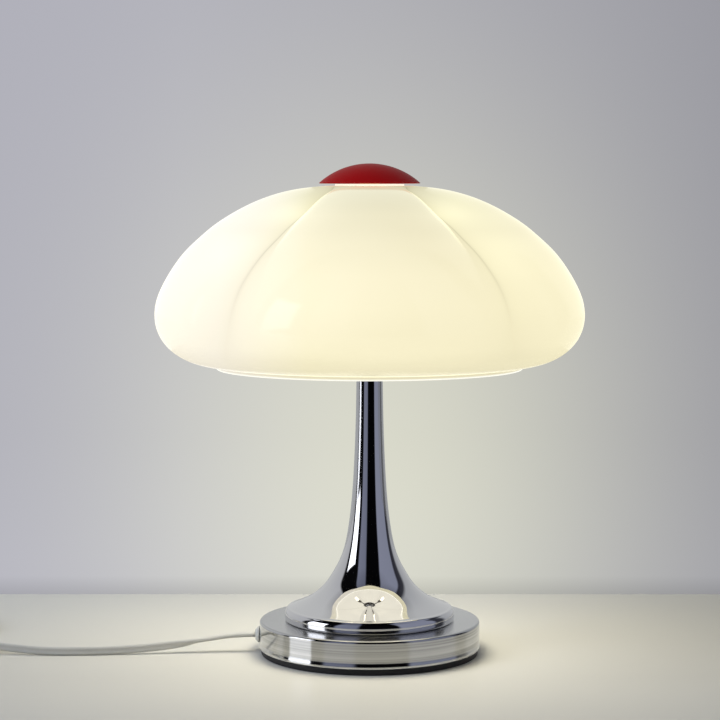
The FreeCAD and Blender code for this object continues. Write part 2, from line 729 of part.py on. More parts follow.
def biarc(start, start_way, end, end_way):
    """Two arcs that leave start and reach end in the given directions and meet smoothly."""
    span = end.sub(start)
    ways = start_way.add(end_way)
    turn = 2 * (1 - start_way.dot(end_way))
    reach = (sqrt(span.dot(ways) ** 2 + turn * span.dot(span)) - span.dot(ways)) / turn
    a = start.add(Vector(start_way).multiply(reach))
    b = end.sub(Vector(end_way).multiply(reach))
    joint = a.add(b).multiply(0.5)
    joint_way = b.sub(a).normalize()
    edges = []
    for p, way, q in ((start, start_way, joint), (joint, joint_way, end)):
        chord = q.sub(p)
        across = chord.sub(Vector(way).multiply(chord.dot(way)))
        radius = chord.dot(chord) / (2 * across.Length)
        centre = p.add(across.normalize().multiply(radius))
        outwards = p.add(q).multiply(0.5).sub(centre).normalize()
        edges.append(Part.Arc(p, centre.add(outwards.multiply(radius)), q).toShape())
    return edges


def coil_middle():
    """The coil's centre in plan: the lead reaches its left side, heading +Y."""
    return lead_route[-1][0] + coil_radius, lead_route[-1][1] + 2 * cord_radius


def coil_edges():
    """Half turns that wind in on the lower layer, climb while they turn back, and wind out on the upper."""
    x, y = coil_middle()
    radii = [coil_radius - coil_step / 2 * k for k in range(coil_half_turns + 1)]
    innermost = radii[-1] - coil_step / 2 - climb_inset
    rings = [(r, coil_height) for r in radii]
    rings += [(r, coil_height + coil_climb) for r in [innermost] + radii[::-1]]
    points = []
    ways = []
    for k, (r, z) in enumerate(rings):
        side = -1 if k % 2 == 0 else 1
        points.append(Vector(x + side * r, y, z))
        ways.append(Vector(0, -side, 0))
    run = 2 * cord_radius
    edges = [Part.LineSegment(points[0].sub(Vector(0, run, 0)), points[0]).toShape()]
    for a, a_way, b, b_way in zip(points, ways, points[1:], ways[1:]):
        edges += biarc(a, a_way, b, b_way)
    edges.append(Part.LineSegment(points[-1], points[-1].add(Vector(0, run, 0))).toShape())
    return edges


def least_gap(edges, step=3.0):
    """The least space between the tube's surface and itself, measured on points along its centreline."""
    points = []
    lengths = []
    walked = 0.0
    for edge in edges:
        for point in edge.discretize(max(2, int(edge.Length / step) + 1))[:-1]:
            points.append(point)
            lengths.append(walked + (points[-1] - edge.valueAt(edge.FirstParameter)).Length)
        walked += edge.Length
    least = 1e9
    for i, p in enumerate(points):
        for j in range(i + 1, len(points)):
            if lengths[j] - lengths[i] > 8 * cord_radius:
                least = min(least, (points[j] - p).Length)
    return least - 2 * cord_radius


def report_tube(name, edges, radii, solid):
    length = sum(e.Length for e in edges)
    swept = pi * cord_radius ** 2 * length
    text = f"{name}: length {length:.1f}, volume over section times length {solid.Volume / swept:.4f}"
    if radii:
        text += ", radii " + " ".join(f"{r:.0f}" for r in radii)
    print(text)


def cord():
    """The free cord: the stretch from the base, the lead from the switch, the coil and the tail at the plug."""
    pieces = {}
    for name, route in (("cord_stretch", stretch_route), ("cord_lead", lead_route), ("cord_tail", tail_route)):
        edges, radii = rounded_route([Vector(*p) for p in route])
        pieces[name] = tube(edges, cord_radius)
        report_tube(name, edges, radii, pieces[name])
    edges = coil_edges()
    pieces["cord_coil"] = tube(edges, cord_radius)
    report_tube("cord_coil", edges, [], pieces["cord_coil"])
    print("cord_coil: least gap to itself", round(least_gap(edges), 2))
    return pieces


def coil_tie():
    """A flat strap round the bundle of turns, on the side away from where the cord enters."""
    x, y = coil_middle()
    gap_across, gap_up = tie_gap
    innermost = coil_radius - coil_step / 2 * (coil_half_turns + 1) - climb_inset
    inner = innermost - cord_radius - gap_across
    outer = coil_radius - coil_step / 2 + cord_radius + gap_across
    low = coil_height - cord_radius - gap_up
    high = coil_height + coil_climb + cord_radius + gap_up
    strap, width = tie_strap, tie_width
    loop = Part.makeBox(outer - inner + 2 * strap, width, high - low + 2 * strap,
                        Vector(x + inner - strap, y - width / 2, low - strap))
    hole = Part.makeBox(outer - inner, width + 2, high - low, Vector(x + inner, y - width / 2 - 1, low))
    return loop.makeFillet(2 * strap, [e for e in loop.Edges if e.BoundBox.YLength > width - 0.01]).cut(hole)


def flat_oval(x, y, z, width, depth):
    """An upright flat oval across Y: two straight runs and two round ends."""
    flat = width / 2 - depth / 2 + 0.05
    top, bottom = z + depth / 2, z - depth / 2
    return Part.Wire([
        Part.LineSegment(Vector(x - flat, y, bottom), Vector(x + flat, y, bottom)).toShape(),
        Part.Arc(Vector(x + flat, y, bottom), Vector(x + width / 2, y, z), Vector(x + flat, y, top)).toShape(),
        Part.LineSegment(Vector(x + flat, y, top), Vector(x - flat, y, top)).toShape(),
        Part.Arc(Vector(x - flat, y, top), Vector(x - width / 2, y, z), Vector(x - flat, y, bottom)).toShape(),
    ])


def plug():
    """Flat two-pin plug that lies on its broad side, with a tapered sleeve where the cord enters."""
    x, back, middle = tail_route[-1]
    ahead = Vector(0, 1, 0)
    sleeve = Part.makeCone(*sleeve_radii, sleeve_length, Vector(x, back, middle), ahead)
    sections = [flat_oval(x, back + reach, middle, width, depth) for reach, width, depth in plug_sections]
    body = Part.makeLoft(sections, True, True).fuse(sleeve)
    body = body.cut(Part.makeCylinder(cord_radius, 0.5, Vector(x, back - 0.5, middle), ahead))
    pins = []
    for side in (-1, 1):
        face = Vector(x + side * pin_gap / 2, back + plug_length, middle)
        pin = Part.makeCylinder(pin_radius, pin_length, face, ahead)
        tip = [e for e in pin.Edges if e.BoundBox.YMin > face.y + pin_length - 0.1]
        root = Part.makeCylinder(pin_root_radius, pin_root, face.sub(Vector(0, pin_root, 0)), ahead)
        body = body.cut(root)
        pins.append(pin.makeFillet(pin_tip, tip).fuse(root))
    return {"plug_body": body, "plug_pins": Part.makeCompound(pins)}


os.makedirs("parts", exist_ok=True)
nodes = {"shade": shade(), "coil_tie": coil_tie()}
for group in (base, supply, stem, cluster, crown, switch, cord, plug):
    nodes.update(group())
for name, shape in nodes.items():
    if not shape.isValid() or shape.Volume <= 0:
        print("check", name, "valid", shape.isValid(), "volume", shape.Volume)
    shape.exportStep(f"parts/{name}.step")
print(len(nodes), "nodes")
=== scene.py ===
import bmesh
import bpy
import json
import math
import numpy as np
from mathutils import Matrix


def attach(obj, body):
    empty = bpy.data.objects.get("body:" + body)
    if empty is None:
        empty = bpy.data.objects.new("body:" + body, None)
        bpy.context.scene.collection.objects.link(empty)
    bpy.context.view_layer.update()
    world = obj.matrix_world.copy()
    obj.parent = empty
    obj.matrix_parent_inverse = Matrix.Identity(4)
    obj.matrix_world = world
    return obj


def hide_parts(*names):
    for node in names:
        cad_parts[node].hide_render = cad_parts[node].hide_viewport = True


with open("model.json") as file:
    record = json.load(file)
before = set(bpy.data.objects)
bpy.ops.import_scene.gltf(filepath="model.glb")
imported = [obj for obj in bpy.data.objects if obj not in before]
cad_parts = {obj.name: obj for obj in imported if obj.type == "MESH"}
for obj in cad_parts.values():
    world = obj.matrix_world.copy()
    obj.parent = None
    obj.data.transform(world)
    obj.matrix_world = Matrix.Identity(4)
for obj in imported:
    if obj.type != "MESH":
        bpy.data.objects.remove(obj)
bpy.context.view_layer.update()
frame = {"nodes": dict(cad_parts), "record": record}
scene = bpy.context.scene
mm = 0.001
print("frame loaded:", len(frame["nodes"]), "nodes")


def linear(code):
    # sRGB hex to linear, channel by channel
    channels = [int(code[i:i + 2], 16) / 255 for i in (0, 2, 4)]
    return [c / 12.92 if c <= 0.04045 else ((c + 0.055) / 1.055) ** 2.4 for c in channels] + [1.0]


def addNode(tree, kind, inputs=None, stops=None, **settings):
    # a shader node with its settings, its socket values or links, and a ramp's stops as (place, colour)
    made = tree.nodes.new("ShaderNode" + kind)
    for name, value in settings.items():
        setattr(made, name, value)
    for socket, value in (inputs or {}).items():
        if isinstance(value, bpy.types.NodeSocket):
            tree.links.new(value, made.inputs[socket])
        else:
            made.inputs[socket].default_value = value
    if stops:
        ramp = made.color_ramp
        while len(ramp.elements) < len(stops):
            ramp.elements.new(1.0)
        for element, (place, colour) in zip(ramp.elements, stops):
            element.position = place
            element.color = colour
    return made


def newMaterial(name):
    # an empty material, its tree, and the object's coordinates in metres
    material = bpy.data.materials.new(name)
    material.use_nodes = True
    tree = material.node_tree
    tree.nodes.clear()
    return material, tree, addNode(tree, "TexCoord").outputs["Object"]


def finished(material, shader):
    addNode(material.node_tree, "OutputMaterial", {"Surface": shader.outputs[0]})
    return material


def splineThrough(points, samples, startWay=None, endWay=None):
    # cubic spline through points, by chord length; the ends are free or leave along the ways given
    points = np.asarray(points, float)
    s = np.concatenate([[0.0], np.cumsum(np.linalg.norm(np.diff(points[:, :2], axis=0), axis=1))])
    h = np.diff(s)
    n = len(points)
    a = np.zeros((n, n))
    b = np.zeros(points.shape)
    slopes = np.diff(points, axis=0) / h[:, None]
    for i in range(1, n - 1):
        a[i, i - 1:i + 2] = h[i - 1], 2 * (h[i - 1] + h[i]), h[i]
        b[i] = 6 * (slopes[i] - slopes[i - 1])
    a[0, 0] = a[-1, -1] = 1.0
    if startWay is not None:
        a[0, :2] = 2 * h[0], h[0]
        b[0] = 6 * (slopes[0] - np.asarray(startWay, float))
    if endWay is not None:
        a[-1, -2:] = h[-1], 2 * h[-1]
        b[-1] = 6 * (np.asarray(endWay, float) - slopes[-1])
    m = np.linalg.solve(a, b)
    at = np.linspace(0, s[-1], samples)
    k = np.clip(np.searchsorted(s, at, side="right") - 1, 0, n - 2)
    u = (at - s[k])[:, None]
    hk = h[k][:, None]
    return (m[k] * (hk - u) ** 3 + m[k + 1] * u ** 3) / (6 * hk) \
        + (points[k] / hk - m[k] * hk / 6) * (hk - u) + (points[k + 1] / hk - m[k + 1] * hk / 6) * u


def arcThrough(a, middle, b, count):
    # points on the circle through three points, from a to b
    (ax, ay), (mx, my), (bx, by) = a, middle, b
    d = 2 * (ax * (my - by) + mx * (by - ay) + bx * (ay - my))
    a2, m2, b2 = ax * ax + ay * ay, mx * mx + my * my, bx * bx + by * by
    cx = (a2 * (my - by) + m2 * (by - ay) + b2 * (ay - my)) / d
    cy = (a2 * (bx - mx) + m2 * (ax - bx) + b2 * (mx - ax)) / d
    start, via, end = (math.atan2(y - cy, x - cx) for x, y in (a, middle, b))
    via = start + (via - start + math.pi) % (2 * math.pi) - math.pi
    end = via + (end - via + math.pi) % (2 * math.pi) - math.pi
    angles = np.linspace(start, end, count)
    radius = math.hypot(ax - cx, ay - cy)
    return np.stack([cx + radius * np.cos(angles), cy + radius * np.sin(angles)], 1)


def meshFrom(name, points, material, closeRows=False, body="root", sharp=None, fields=None):
    # a grid of points (rows, columns, 3) in millimetres made a smooth mesh that closes round its columns,
    # with doubles merged at poles; fields holds named grids of one number for each point, read by materials
    rows, columns = points.shape[:2]
    r, c = np.meshgrid(np.arange(rows if closeRows else rows - 1), np.arange(columns), indexing="ij")
    row, nextRow, nextC = r * columns, (r + 1) % rows * columns, (c + 1) % columns
    quads = np.stack([row + c, row + nextC, nextRow + nextC, nextRow + c], -1).reshape(-1, 4)
    mesh = bpy.data.meshes.new(name)
    mesh.from_pydata((points.reshape(-1, 3) * mm).tolist(), [], quads.tolist())
    for field, values in (fields or {}).items():
        held = mesh.attributes.new(field, "FLOAT", "POINT")
        held.data.foreach_set("value", values.ravel().astype(np.float32))
    made = bmesh.new()
    made.from_mesh(mesh)
    bmesh.ops.remove_doubles(made, verts=made.verts, dist=1e-6)
    bmesh.ops.recalc_face_normals(made, faces=made.faces)
    made.to_mesh(mesh)
    made.free()
    mesh.shade_smooth()
    if sharp:
        mesh.set_sharp_from_angle(angle=math.radians(sharp))
    piece = bpy.data.objects.new(name, mesh)
    scene.collection.objects.link(piece)
    mesh.materials.append(material)
    if body:
        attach(piece, body)
    return piece


def roundedCorners(corners, count=5):
    # a closed outline of (across, up, radius); each corner becomes an arc that leaves and joins its two sides
    corners = np.asarray(corners, float)
    made = []
    for before, (x, y, radius), after in zip(np.roll(corners, 1, 0), corners, np.roll(corners, -1, 0)):
        here = np.array([x, y])
        if radius <= 0:
            made.append(here[None])
            continue
        toBefore, toAfter = before[:2] - here, after[:2] - here
        toBefore /= np.linalg.norm(toBefore)
        toAfter /= np.linalg.norm(toAfter)
        half = math.acos(np.clip(toBefore @ toAfter, -1, 1)) / 2
        reach = radius / math.tan(half)
        inwards = toBefore + toAfter
        bulge = here + inwards / np.linalg.norm(inwards) * (radius / math.sin(half) - radius)
        made.append(arcThrough(here + toBefore * reach, bulge, here + toAfter * reach, count))
    return np.concatenate(made)


def revolved(profile, columns):
    # (r, z) points turned about the lamp's axis: (r cos t, r sin t, z)
    turn = np.linspace(0, 2 * math.pi, columns, endpoint=False)
    r, z = profile[:, 0, None], profile[:, 1, None]
    return np.stack([r * np.cos(turn), r * np.sin(turn), np.broadcast_to(z, (len(profile), columns))], -1)


def placed(points, start, ahead):
    # points made along +Z from the origin, moved to run from start along ahead: start + x up + y side + z w
    w = np.asarray(ahead, float)
    w = w / np.linalg.norm(w)
    side = np.cross([0, 0, 1.0], w)
    side = side / np.linalg.norm(side) if np.linalg.norm(side) > 1e-6 else np.array([1.0, 0, 0])
    up = np.cross(w, side)
    return np.asarray(start) + points[..., :1] * up + points[..., 1:2] * side + points[..., 2:] * w


# Camera, fitted to the photograph's 720 by 720 frame
viewpoint = {"lens": 105.5, "sensor": 36.0, "side": -0.0067, "distance": 1.471, "height": 0.3182,
             "down": 4.334}
cameraData = bpy.data.cameras.new("camera")
cameraData.lens = viewpoint["lens"]
cameraData.sensor_width = viewpoint["sensor"]
camera = bpy.data.objects.new("camera", cameraData)
camera.location = (viewpoint["side"], -viewpoint["distance"], viewpoint["height"])
camera.rotation_euler = (math.radians(90 - viewpoint["down"]), 0, 0)
scene.collection.objects.link(camera)
scene.camera = camera
scene.view_settings.view_transform = "Standard"


# Cord: one spline from the grommet through the in-line switch, round the coil and into the plug
cordShape = {"thickness": 3.2, "width": 6.0, "coreWrap": 118, "flatUntil": 34.0, "onEdgeFrom": 64.0}
stretchRoute = [
    (-80.5, 0.0, 12.5), (-92.5, 0.0, 12.5), (-112.0, -1.6, 10.2), (-134.0, -4.0, 6.4), (-158.0, -7.5, 4.2),
    (-182.0, -10.5, 3.2), (-206.0, -12.5, 3.1), (-230.0, -12.0, 3.2), (-251.0, -9.5, 4.8), (-269.0, -6.2, 6.5),
]
leadRoute = [
    (-328.0, 4.6, 6.5), (-342.0, 7.2, 6.2), (-361.2, 21.6, 4.4), (-371.9, 43.1, 3.2), (-371.9, 66.1, 3.1),
]
tailRoute = [(-371.9, 75.3, 9.6), (-371.9, 85.5, 9.6), (-370.8, 98.5, 6.85), (-370.8, 109.0, 6.85)]
coil = {"x": -327.9, "y": 70.7, "radius": 44.0, "step": 2.55, "halfTurns": 5, "inset": 4.4, "low": 3.1,
        "climb": 6.5, "points": 9}


def coilPoints():
    # half turns whose radius falls steadily on the lower layer, climbs at the innermost and grows again above
    radii = [coil["radius"] - coil["step"] * k for k in range(coil["halfTurns"] + 1)]
    top = coil["low"] + coil["climb"]
    ends = [(r, coil["low"]) for r in radii]
    ends += [(r, top) for r in [radii[-1] - coil["step"] - coil["inset"]] + radii[::-1]]
    made = []
    count = coil["points"]
    for k, ((r0, z0), (r1, z1)) in enumerate(zip(ends, ends[1:])):
        t = (np.arange(count) + 0.5) / count
        turn = math.pi - math.pi * (k + t)
        r = (r0 + (r1 - r0) * t) / math.cos(math.pi / 2 / count)
        z = z0 + (z1 - z0) * t * t * (3 - 2 * t)
        made.append(np.stack([coil["x"] + r * np.cos(turn), coil["y"] + r * np.sin(turn), z], 1))
    return np.concatenate(made)


def routeLine(name, route):
    # points along a smooth open NURBS curve with the route's points as its control points
    curve = bpy.data.curves.new(name, "CURVE")
    curve.dimensions = "3D"
    curve.resolution_u = 10
    spline = curve.splines.new("NURBS")
    spline.points.add(len(route) - 1)
    spline.points.foreach_set("co", np.column_stack([np.asarray(route) * mm, np.ones(len(route))]).ravel())
    spline.order_u = 3
    spline.use_endpoint_u = True
    holder = bpy.data.objects.new(name, curve)
    scene.collection.objects.link(holder)
    mesh = bpy.data.meshes.new_from_object(holder)
    line = np.empty(len(mesh.vertices) * 3)
    mesh.vertices.foreach_get("co", line)
    bpy.data.objects.remove(holder)
    bpy.data.meshes.remove(mesh)
    bpy.data.curves.remove(curve)
    return line.reshape(-1, 3) / mm


def twinSection(count=16):
    # two cores in one sheath: an arc of coreWrap degrees to each side of both ends, a shallow waist between
    half, reach = cordShape["thickness"] / 2, (cordShape["width"] - cordShape["thickness"]) / 2
    turn = np.radians(np.linspace(-cordShape["coreWrap"], cordShape["coreWrap"], count))
    right = np.stack([reach + half * np.cos(turn), half * np.sin(turn)], 1)
    return np.concatenate([right, -right])


def sweptCord(line):
    # line + u wide + v thin: the twin section (u, v) carried along the line, flat at the grommet and on edge
    # further out, by a smooth step 3t^2 - 2t^3 of a quarter turn
    ahead = np.gradient(line, axis=0)
    ahead /= np.linalg.norm(ahead, axis=1)[:, None]
    side = np.cross([0, 0, 1.0], ahead)
    side /= np.linalg.norm(side, axis=1)[:, None]
    up = np.cross(ahead, side)
    walked = np.concatenate([[0], np.cumsum(np.linalg.norm(np.diff(line, axis=0), axis=1))])
    t = np.clip((walked - cordShape["flatUntil"]) / (cordShape["onEdgeFrom"] - cordShape["flatUntil"]), 0, 1)
    angle = (math.pi / 2 * t * t * (3 - 2 * t))[:, None]
    wide = side * np.cos(angle) + up * np.sin(angle)
    thin = np.cross(ahead, wide)
    section = twinSection()[None]
    return line[:, None] + section[..., :1] * wide[:, None] + section[..., 1:] * thin[:, None], walked[-1]


def capped(points):
    # closes both ends of a swept tube with a point in the middle of the end ring
    first, last = (np.repeat(points[i].mean(0)[None], points.shape[1], 0)[None] for i in (0, -1))
    return np.concatenate([first, points, last])


def pvcSheath():
    # soft PVC cable sheath, extruded: pale grey, with a dull sheen and a faint grain from the die
    material, tree, coords = newMaterial("cordPvc")
    drift = addNode(tree, "TexNoise", {"Vector": coords, "Scale": 60.0, "Detail": 3.0})  # 17 mm clouds
    colour = addNode(tree, "Mix", {0: drift.outputs["Fac"], 6: linear("D2D1CB"), 7: linear("BFBFBA")},
                     data_type="RGBA")
    # grains of 0.7 mm, coarser than the real 0.1 mm, so that they show
    grain = addNode(tree, "TexNoise", {"Vector": coords, "Scale": 1400.0, "Detail": 2.0})
    bump = addNode(tree, "Bump",
                   {"Strength": 0.15, "Distance": 0.1 * mm, "Height": grain.outputs["Fac"]})
    shader = addNode(tree, "BsdfPrincipled", {"Base Color": colour.outputs[2], "Roughness": 0.42,
                                              "IOR": 1.52, "Normal": bump.outputs[0]})
    return finished(material, shader)


cordLine = routeLine("route", np.concatenate([stretchRoute, leadRoute, coilPoints(), tailRoute]))
cordPoints, cordLength = sweptCord(cordLine)
supplyCord = meshFrom("supplyCord", capped(cordPoints), pvcSheath())
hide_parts("cord_stretch", "cord_lead", "cord_coil", "cord_tail")
print("cord:", round(cordLength, 1), "mm")


# Studio: floor, wall and daylight
studio = {"floorHalf": 9.0, "floorNear": "CFCEC6", "floorWallBounce": "E4E4DC", "floorBounceFade": (-0.08, 0.2),
          "floorShine": 0.07, "glossyEdge": -0.62, "wallY": 0.2185, "wallTop": 4.0, "wallLeft": "B0B0BA",
          "wallRight": "9A9AA2", "wallFade": (-0.15, 0.28), "poolColour": "94946C",
          "poolCentre": (0.012, 0.11), "poolReach": (0.2, 0.27), "footShade": (0.001, 0.015, 0.8),
          "footBounce": (0.03, 0.13, 1.06), "ambient": 0.28, "ambientTint": "F4F6FF", "distance": "C8C8C6"}


def plane(name, corners, material):
    # one face of the studio, which is no part of the lamp
    mesh = bpy.data.meshes.new(name)
    mesh.from_pydata(corners, [], [(0, 1, 2, 3)])
    mesh.materials.append(material)
    made = bpy.data.objects.new(name, mesh)
    scene.collection.objects.link(made)
    return made


def floorFinish():
    # white laminate table top, pressed and satin: paler towards the wall with painted light bounced from it,
    # with a faint soft mirror image; chrome sees its stronger grazing shine, and nothing of it in front of
    # glossyEdge
    material, tree, coords = newMaterial("paleLaminate")
    path = addNode(tree, "LightPath")
    place = addNode(tree, "SeparateXYZ", {0: coords})
    near, far = studio["floorBounceFade"]
    # painted bounce light: the table turns paler towards the wall
    back = addNode(tree, "MapRange", {0: place.outputs[1], 1: near, 2: far})
    colour = addNode(tree, "Mix", {0: back.outputs[0], 6: linear(studio["floorNear"]),
                                   7: linear(studio["floorWallBounce"])}, data_type="RGBA").outputs[2]
    mirrored = addNode(tree, "BsdfPrincipled", {"Base Color": colour, "Roughness": 0.16, "IOR": 1.45})
    body = addNode(tree, "BsdfDiffuse", {"Color": colour})
    gloss = addNode(tree, "BsdfGlossy", {"Color": linear("F4F4F6"), "Roughness": 0.2})
    table = addNode(tree, "MixShader",
                    {0: studio["floorShine"], 1: body.outputs[0], 2: gloss.outputs[0]})
    seen = addNode(tree, "MixShader",
                   {0: path.outputs["Is Camera Ray"], 1: mirrored.outputs[0], 2: table.outputs[0]})
    before = addNode(tree, "Math", {0: place.outputs[1], 1: studio["glossyEdge"]},
                     operation="LESS_THAN")
    cut = addNode(tree, "Math", {0: before.outputs[0], 1: path.outputs["Is Glossy Ray"]},
                  operation="MULTIPLY")
    clear = addNode(tree, "BsdfTransparent")
    mixed = addNode(tree, "MixShader", {0: cut.outputs[0], 1: seen.outputs[0], 2: clear.outputs[0]})
    return finished(material, mixed)


def wallFinish():
    # matt painted wall drawn as emission: darker to the right as painted shade, with the lamp's warm pool
    # exp(-(x^2 + z^2)) painted on it, a painted shade at its foot and a little painted light that the table
    # throws on it; seen from behind it is clear
    material, tree, coords = newMaterial("paleWall")
    place = addNode(tree, "SeparateXYZ", {0: coords})
    left, right = studio["wallFade"]
    across = addNode(tree, "MapRange", {0: place.outputs[0], 1: left, 2: right})
    paint = addNode(tree, "Mix", {0: across.outputs[0], 6: linear(studio["wallLeft"]),
                                  7: linear(studio["wallRight"])}, data_type="RGBA")
    (poolX, poolZ), (wide, high) = studio["poolCentre"], studio["poolReach"]
    pool = addNode(tree, "Mapping", {"Vector": coords, "Location": (-poolX / wide, 0, -poolZ / high),
                                     "Scale": (1 / wide, 0, 1 / high)})
    reach = addNode(tree, "VectorMath", {0: pool.outputs[0], 1: pool.outputs[0]},
                    operation="DOT_PRODUCT")
    fall = addNode(tree, "Math", {0: reach.outputs["Value"], 1: -1.0}, operation="MULTIPLY")
    share = addNode(tree, "Math", {0: fall.outputs[0]}, operation="EXPONENT")
    warm = addNode(tree, "VectorMath", {0: linear(studio["poolColour"])[:3], 1: share.outputs[0],
                                        2: paint.outputs[2]}, operation="MULTIPLY_ADD")
    low, bounced = (addNode(tree, "MapRange",
                            {0: place.outputs[2], 1: foot, 2: top, 3: level, 4: 1.0})
                    for foot, top, level in (studio["footShade"], studio["footBounce"]))
    level = addNode(tree, "Math", {0: low.outputs[0], 1: bounced.outputs[0]}, operation="MULTIPLY")
    shine = addNode(tree, "Emission", {0: warm.outputs[0], 1: level.outputs[0]})
    clear = addNode(tree, "BsdfTransparent")
    behind = addNode(tree, "NewGeometry").outputs["Backfacing"]
    mixed = addNode(tree, "MixShader", {0: behind, 1: shine.outputs[0], 2: clear.outputs[0]})
    return finished(material, mixed)


half, wallY, wallTop = (studio[k] for k in ("floorHalf", "wallY", "wallTop"))
plane("floor", [(-half, -half, 0), (half, -half, 0), (half, half, 0), (-half, half, 0)], floorFinish())
wall = plane("wall", [(-half, wallY, 0), (half, wallY, 0), (half, wallY, wallTop), (-half, wallY, wallTop)],
             wallFinish())
for ray in ("diffuse", "glossy", "shadow", "volume_scatter"):
    setattr(wall, "visible_" + ray, False)


# What the metal mirrors: azimuths from the front, growing to the right, and heights, both in degrees; the
# softbox's edge and the heights between which the ceiling darkens are in radians
drapes = {"radius": 12000, "boxAzimuth": (-91, -63), "boxHeight": (0, 33), "boxEdge": 0.01,
          "boxGlow": (2.2, 2.25, 2.4, 1.0), "ceiling": (0.75, 1.15, 0.35),
          "bands": [(-180, "CBCCCB"), (-140, "C4C5C6"), (-104, "B8B9BD"), (-99, "08080A"), (-50, "0A0A0C"),
                    (-46, "7C8093"), (-18, "74788B"), (-13, "060608"), (39, "060608"), (43, "8A8EA0"),
                    (97, "878B9D"), (102, "2E2E36"), (116, "3A3B42"), (124, "A8AAAE"), (180, "CBCCCB")]}


def surroundFinish():
    # matt grey drapes with dark gaps and one white softbox round the table, darker overhead; only mirrors see
    # them
    material, tree, coords = newMaterial("studioSurround")
    place = addNode(tree, "SeparateXYZ", {0: coords})
    forward = addNode(tree, "Math", {0: place.outputs[1], 1: -1.0}, operation="MULTIPLY")
    turn = addNode(tree, "Math", {0: place.outputs[0], 1: forward.outputs[0]}, operation="ARCTAN2")
    share = addNode(tree, "MapRange", {0: turn.outputs[0], 1: -math.pi, 2: math.pi})
    ground = addNode(tree, "ValToRGB", {0: share.outputs[0]},
                     stops=[((a + 180) / 360, linear(c)) for a, c in drapes["bands"]])
    flat = addNode(tree, "CombineXYZ", {0: place.outputs[0], 1: place.outputs[1]})
    along = addNode(tree, "VectorMath", {0: flat.outputs[0]}, operation="LENGTH")
    height = addNode(tree, "Math", {0: place.outputs[2], 1: along.outputs["Value"]},
                     operation="ARCTAN2")
    box = None
    (boxLeft, boxRight), (boxLow, boxTop), soft = (drapes[k] for k in ("boxAzimuth", "boxHeight", "boxEdge"))
    limits = ((turn, boxLeft, 1), (turn, boxRight, -1), (height, boxLow, 1), (height, boxTop, -1))
    for source, limit, sign in limits:
        gap = addNode(tree, "Math", {0: source.outputs[0], 1: math.radians(limit)},
                      operation="SUBTRACT")
        edge = addNode(tree, "MapRange", {0: gap.outputs[0], 1: -soft * sign, 2: soft * sign})
        box = edge if box is None else addNode(tree, "Math", {0: box.outputs[0], 1: edge.outputs[0]},
                                               operation="MULTIPLY")
    colour = addNode(tree, "Mix", {0: box.outputs[0], 6: ground.outputs[0], 7: drapes["boxGlow"]},
                     data_type="RGBA")
    eaves, crown, overhead = drapes["ceiling"]
    ceiling = addNode(tree, "MapRange",
                      {0: height.outputs[0], 1: eaves, 2: crown, 3: 1.0, 4: overhead})
    shine = addNode(tree, "Emission", {0: colour.outputs[2], 1: ceiling.outputs[0]})
    return finished(material, shine)


def surroundShell():
    # a large ball round the studio: radius (cos a cos t, cos a sin t, sin a) over latitude a and longitude t
    lifts = np.linspace(-math.pi / 2, math.pi / 2, 33)
    lift, turn = np.meshgrid(lifts, np.linspace(0, 2 * math.pi, 64, endpoint=False), indexing="ij")
    points = np.stack([np.cos(lift) * np.cos(turn), np.cos(lift) * np.sin(turn), np.sin(lift)], -1)
    return meshFrom("surround", drapes["radius"] * points, surroundFinish(), body=None)


surround = surroundShell()
for ray in ("camera", "diffuse", "transmission", "shadow", "volume_scatter"):
    setattr(surround, "visible_" + ray, False)
for shell in (surround, wall):
    shell.data.materials[0].cycles.emission_sampling = "NONE"

world = bpy.data.worlds.new("studio")
scene.world = world
world.use_nodes = True
world.node_tree.nodes.clear()
path = addNode(world.node_tree, "LightPath")
airy = addNode(world.node_tree, "Background",
               {0: linear(studio["ambientTint"]), 1: studio["ambient"]})
seen = addNode(world.node_tree, "Background", {0: linear(studio["distance"]), 1: 1.0})
either = addNode(world.node_tree, "MixShader",
                 {0: path.outputs["Is Camera Ray"], 1: airy.outputs[0], 2: seen.outputs[0]})
addNode(world.node_tree, "OutputWorld", {"Surface": either.outputs[0]})


lights = {"key": {"size": (1.0, 1.2), "place": (-1.7, -0.7, 1.4), "aim": (0, 0, 0.2), "power": 21.3,
                  "colour": "E4ECFF"},
          "fill": {"size": (1.6, 1.0), "place": (1.8, -1.4, 1.9), "aim": (0, 0, 0.15), "power": 1.704,
                   "colour": "FFFBF0"},
          "glow": {"place": (0, 0, 0.235), "radius": 0.07, "power": 2.3, "colour": "FFF7E2"}}


def areaLight(name, size, place, aim, power, colour):
    # a rectangular lamp that faces its aim; the metal doesn't mirror it
    lamp = bpy.data.lights.new(name, "AREA")
    lamp.shape = "RECTANGLE"
    lamp.size, lamp.size_y = size
    lamp.energy = power
    lamp.color = linear(colour)[:3]
    made = bpy.data.objects.new(name, lamp)
    made.location = place
    away = np.subtract(place, aim)
    flat = math.hypot(away[0], away[1])
    made.rotation_euler = (math.atan2(flat, away[2]), 0, math.atan2(away[0], -away[1]))
    made.visible_glossy = False
    scene.collection.objects.link(made)


areaLight("keyLight", **lights["key"])
areaLight("fillLight", **lights["fill"])


def glowLight():
    # what the bulbs and the lit inside of the shade send down through its mouth
    lamp = bpy.data.lights.new("glowLight", "POINT")
    lamp.shadow_soft_size = lights["glow"]["radius"]
    lamp.energy = lights["glow"]["power"]
    lamp.color = linear(lights["glow"]["colour"])[:3]
    made = bpy.data.objects.new("glowLight", lamp)
    made.location = lights["glow"]["place"]
    made.visible_camera = made.visible_glossy = False
    scene.collection.objects.link(made)


glowLight()
print("camera and studio")


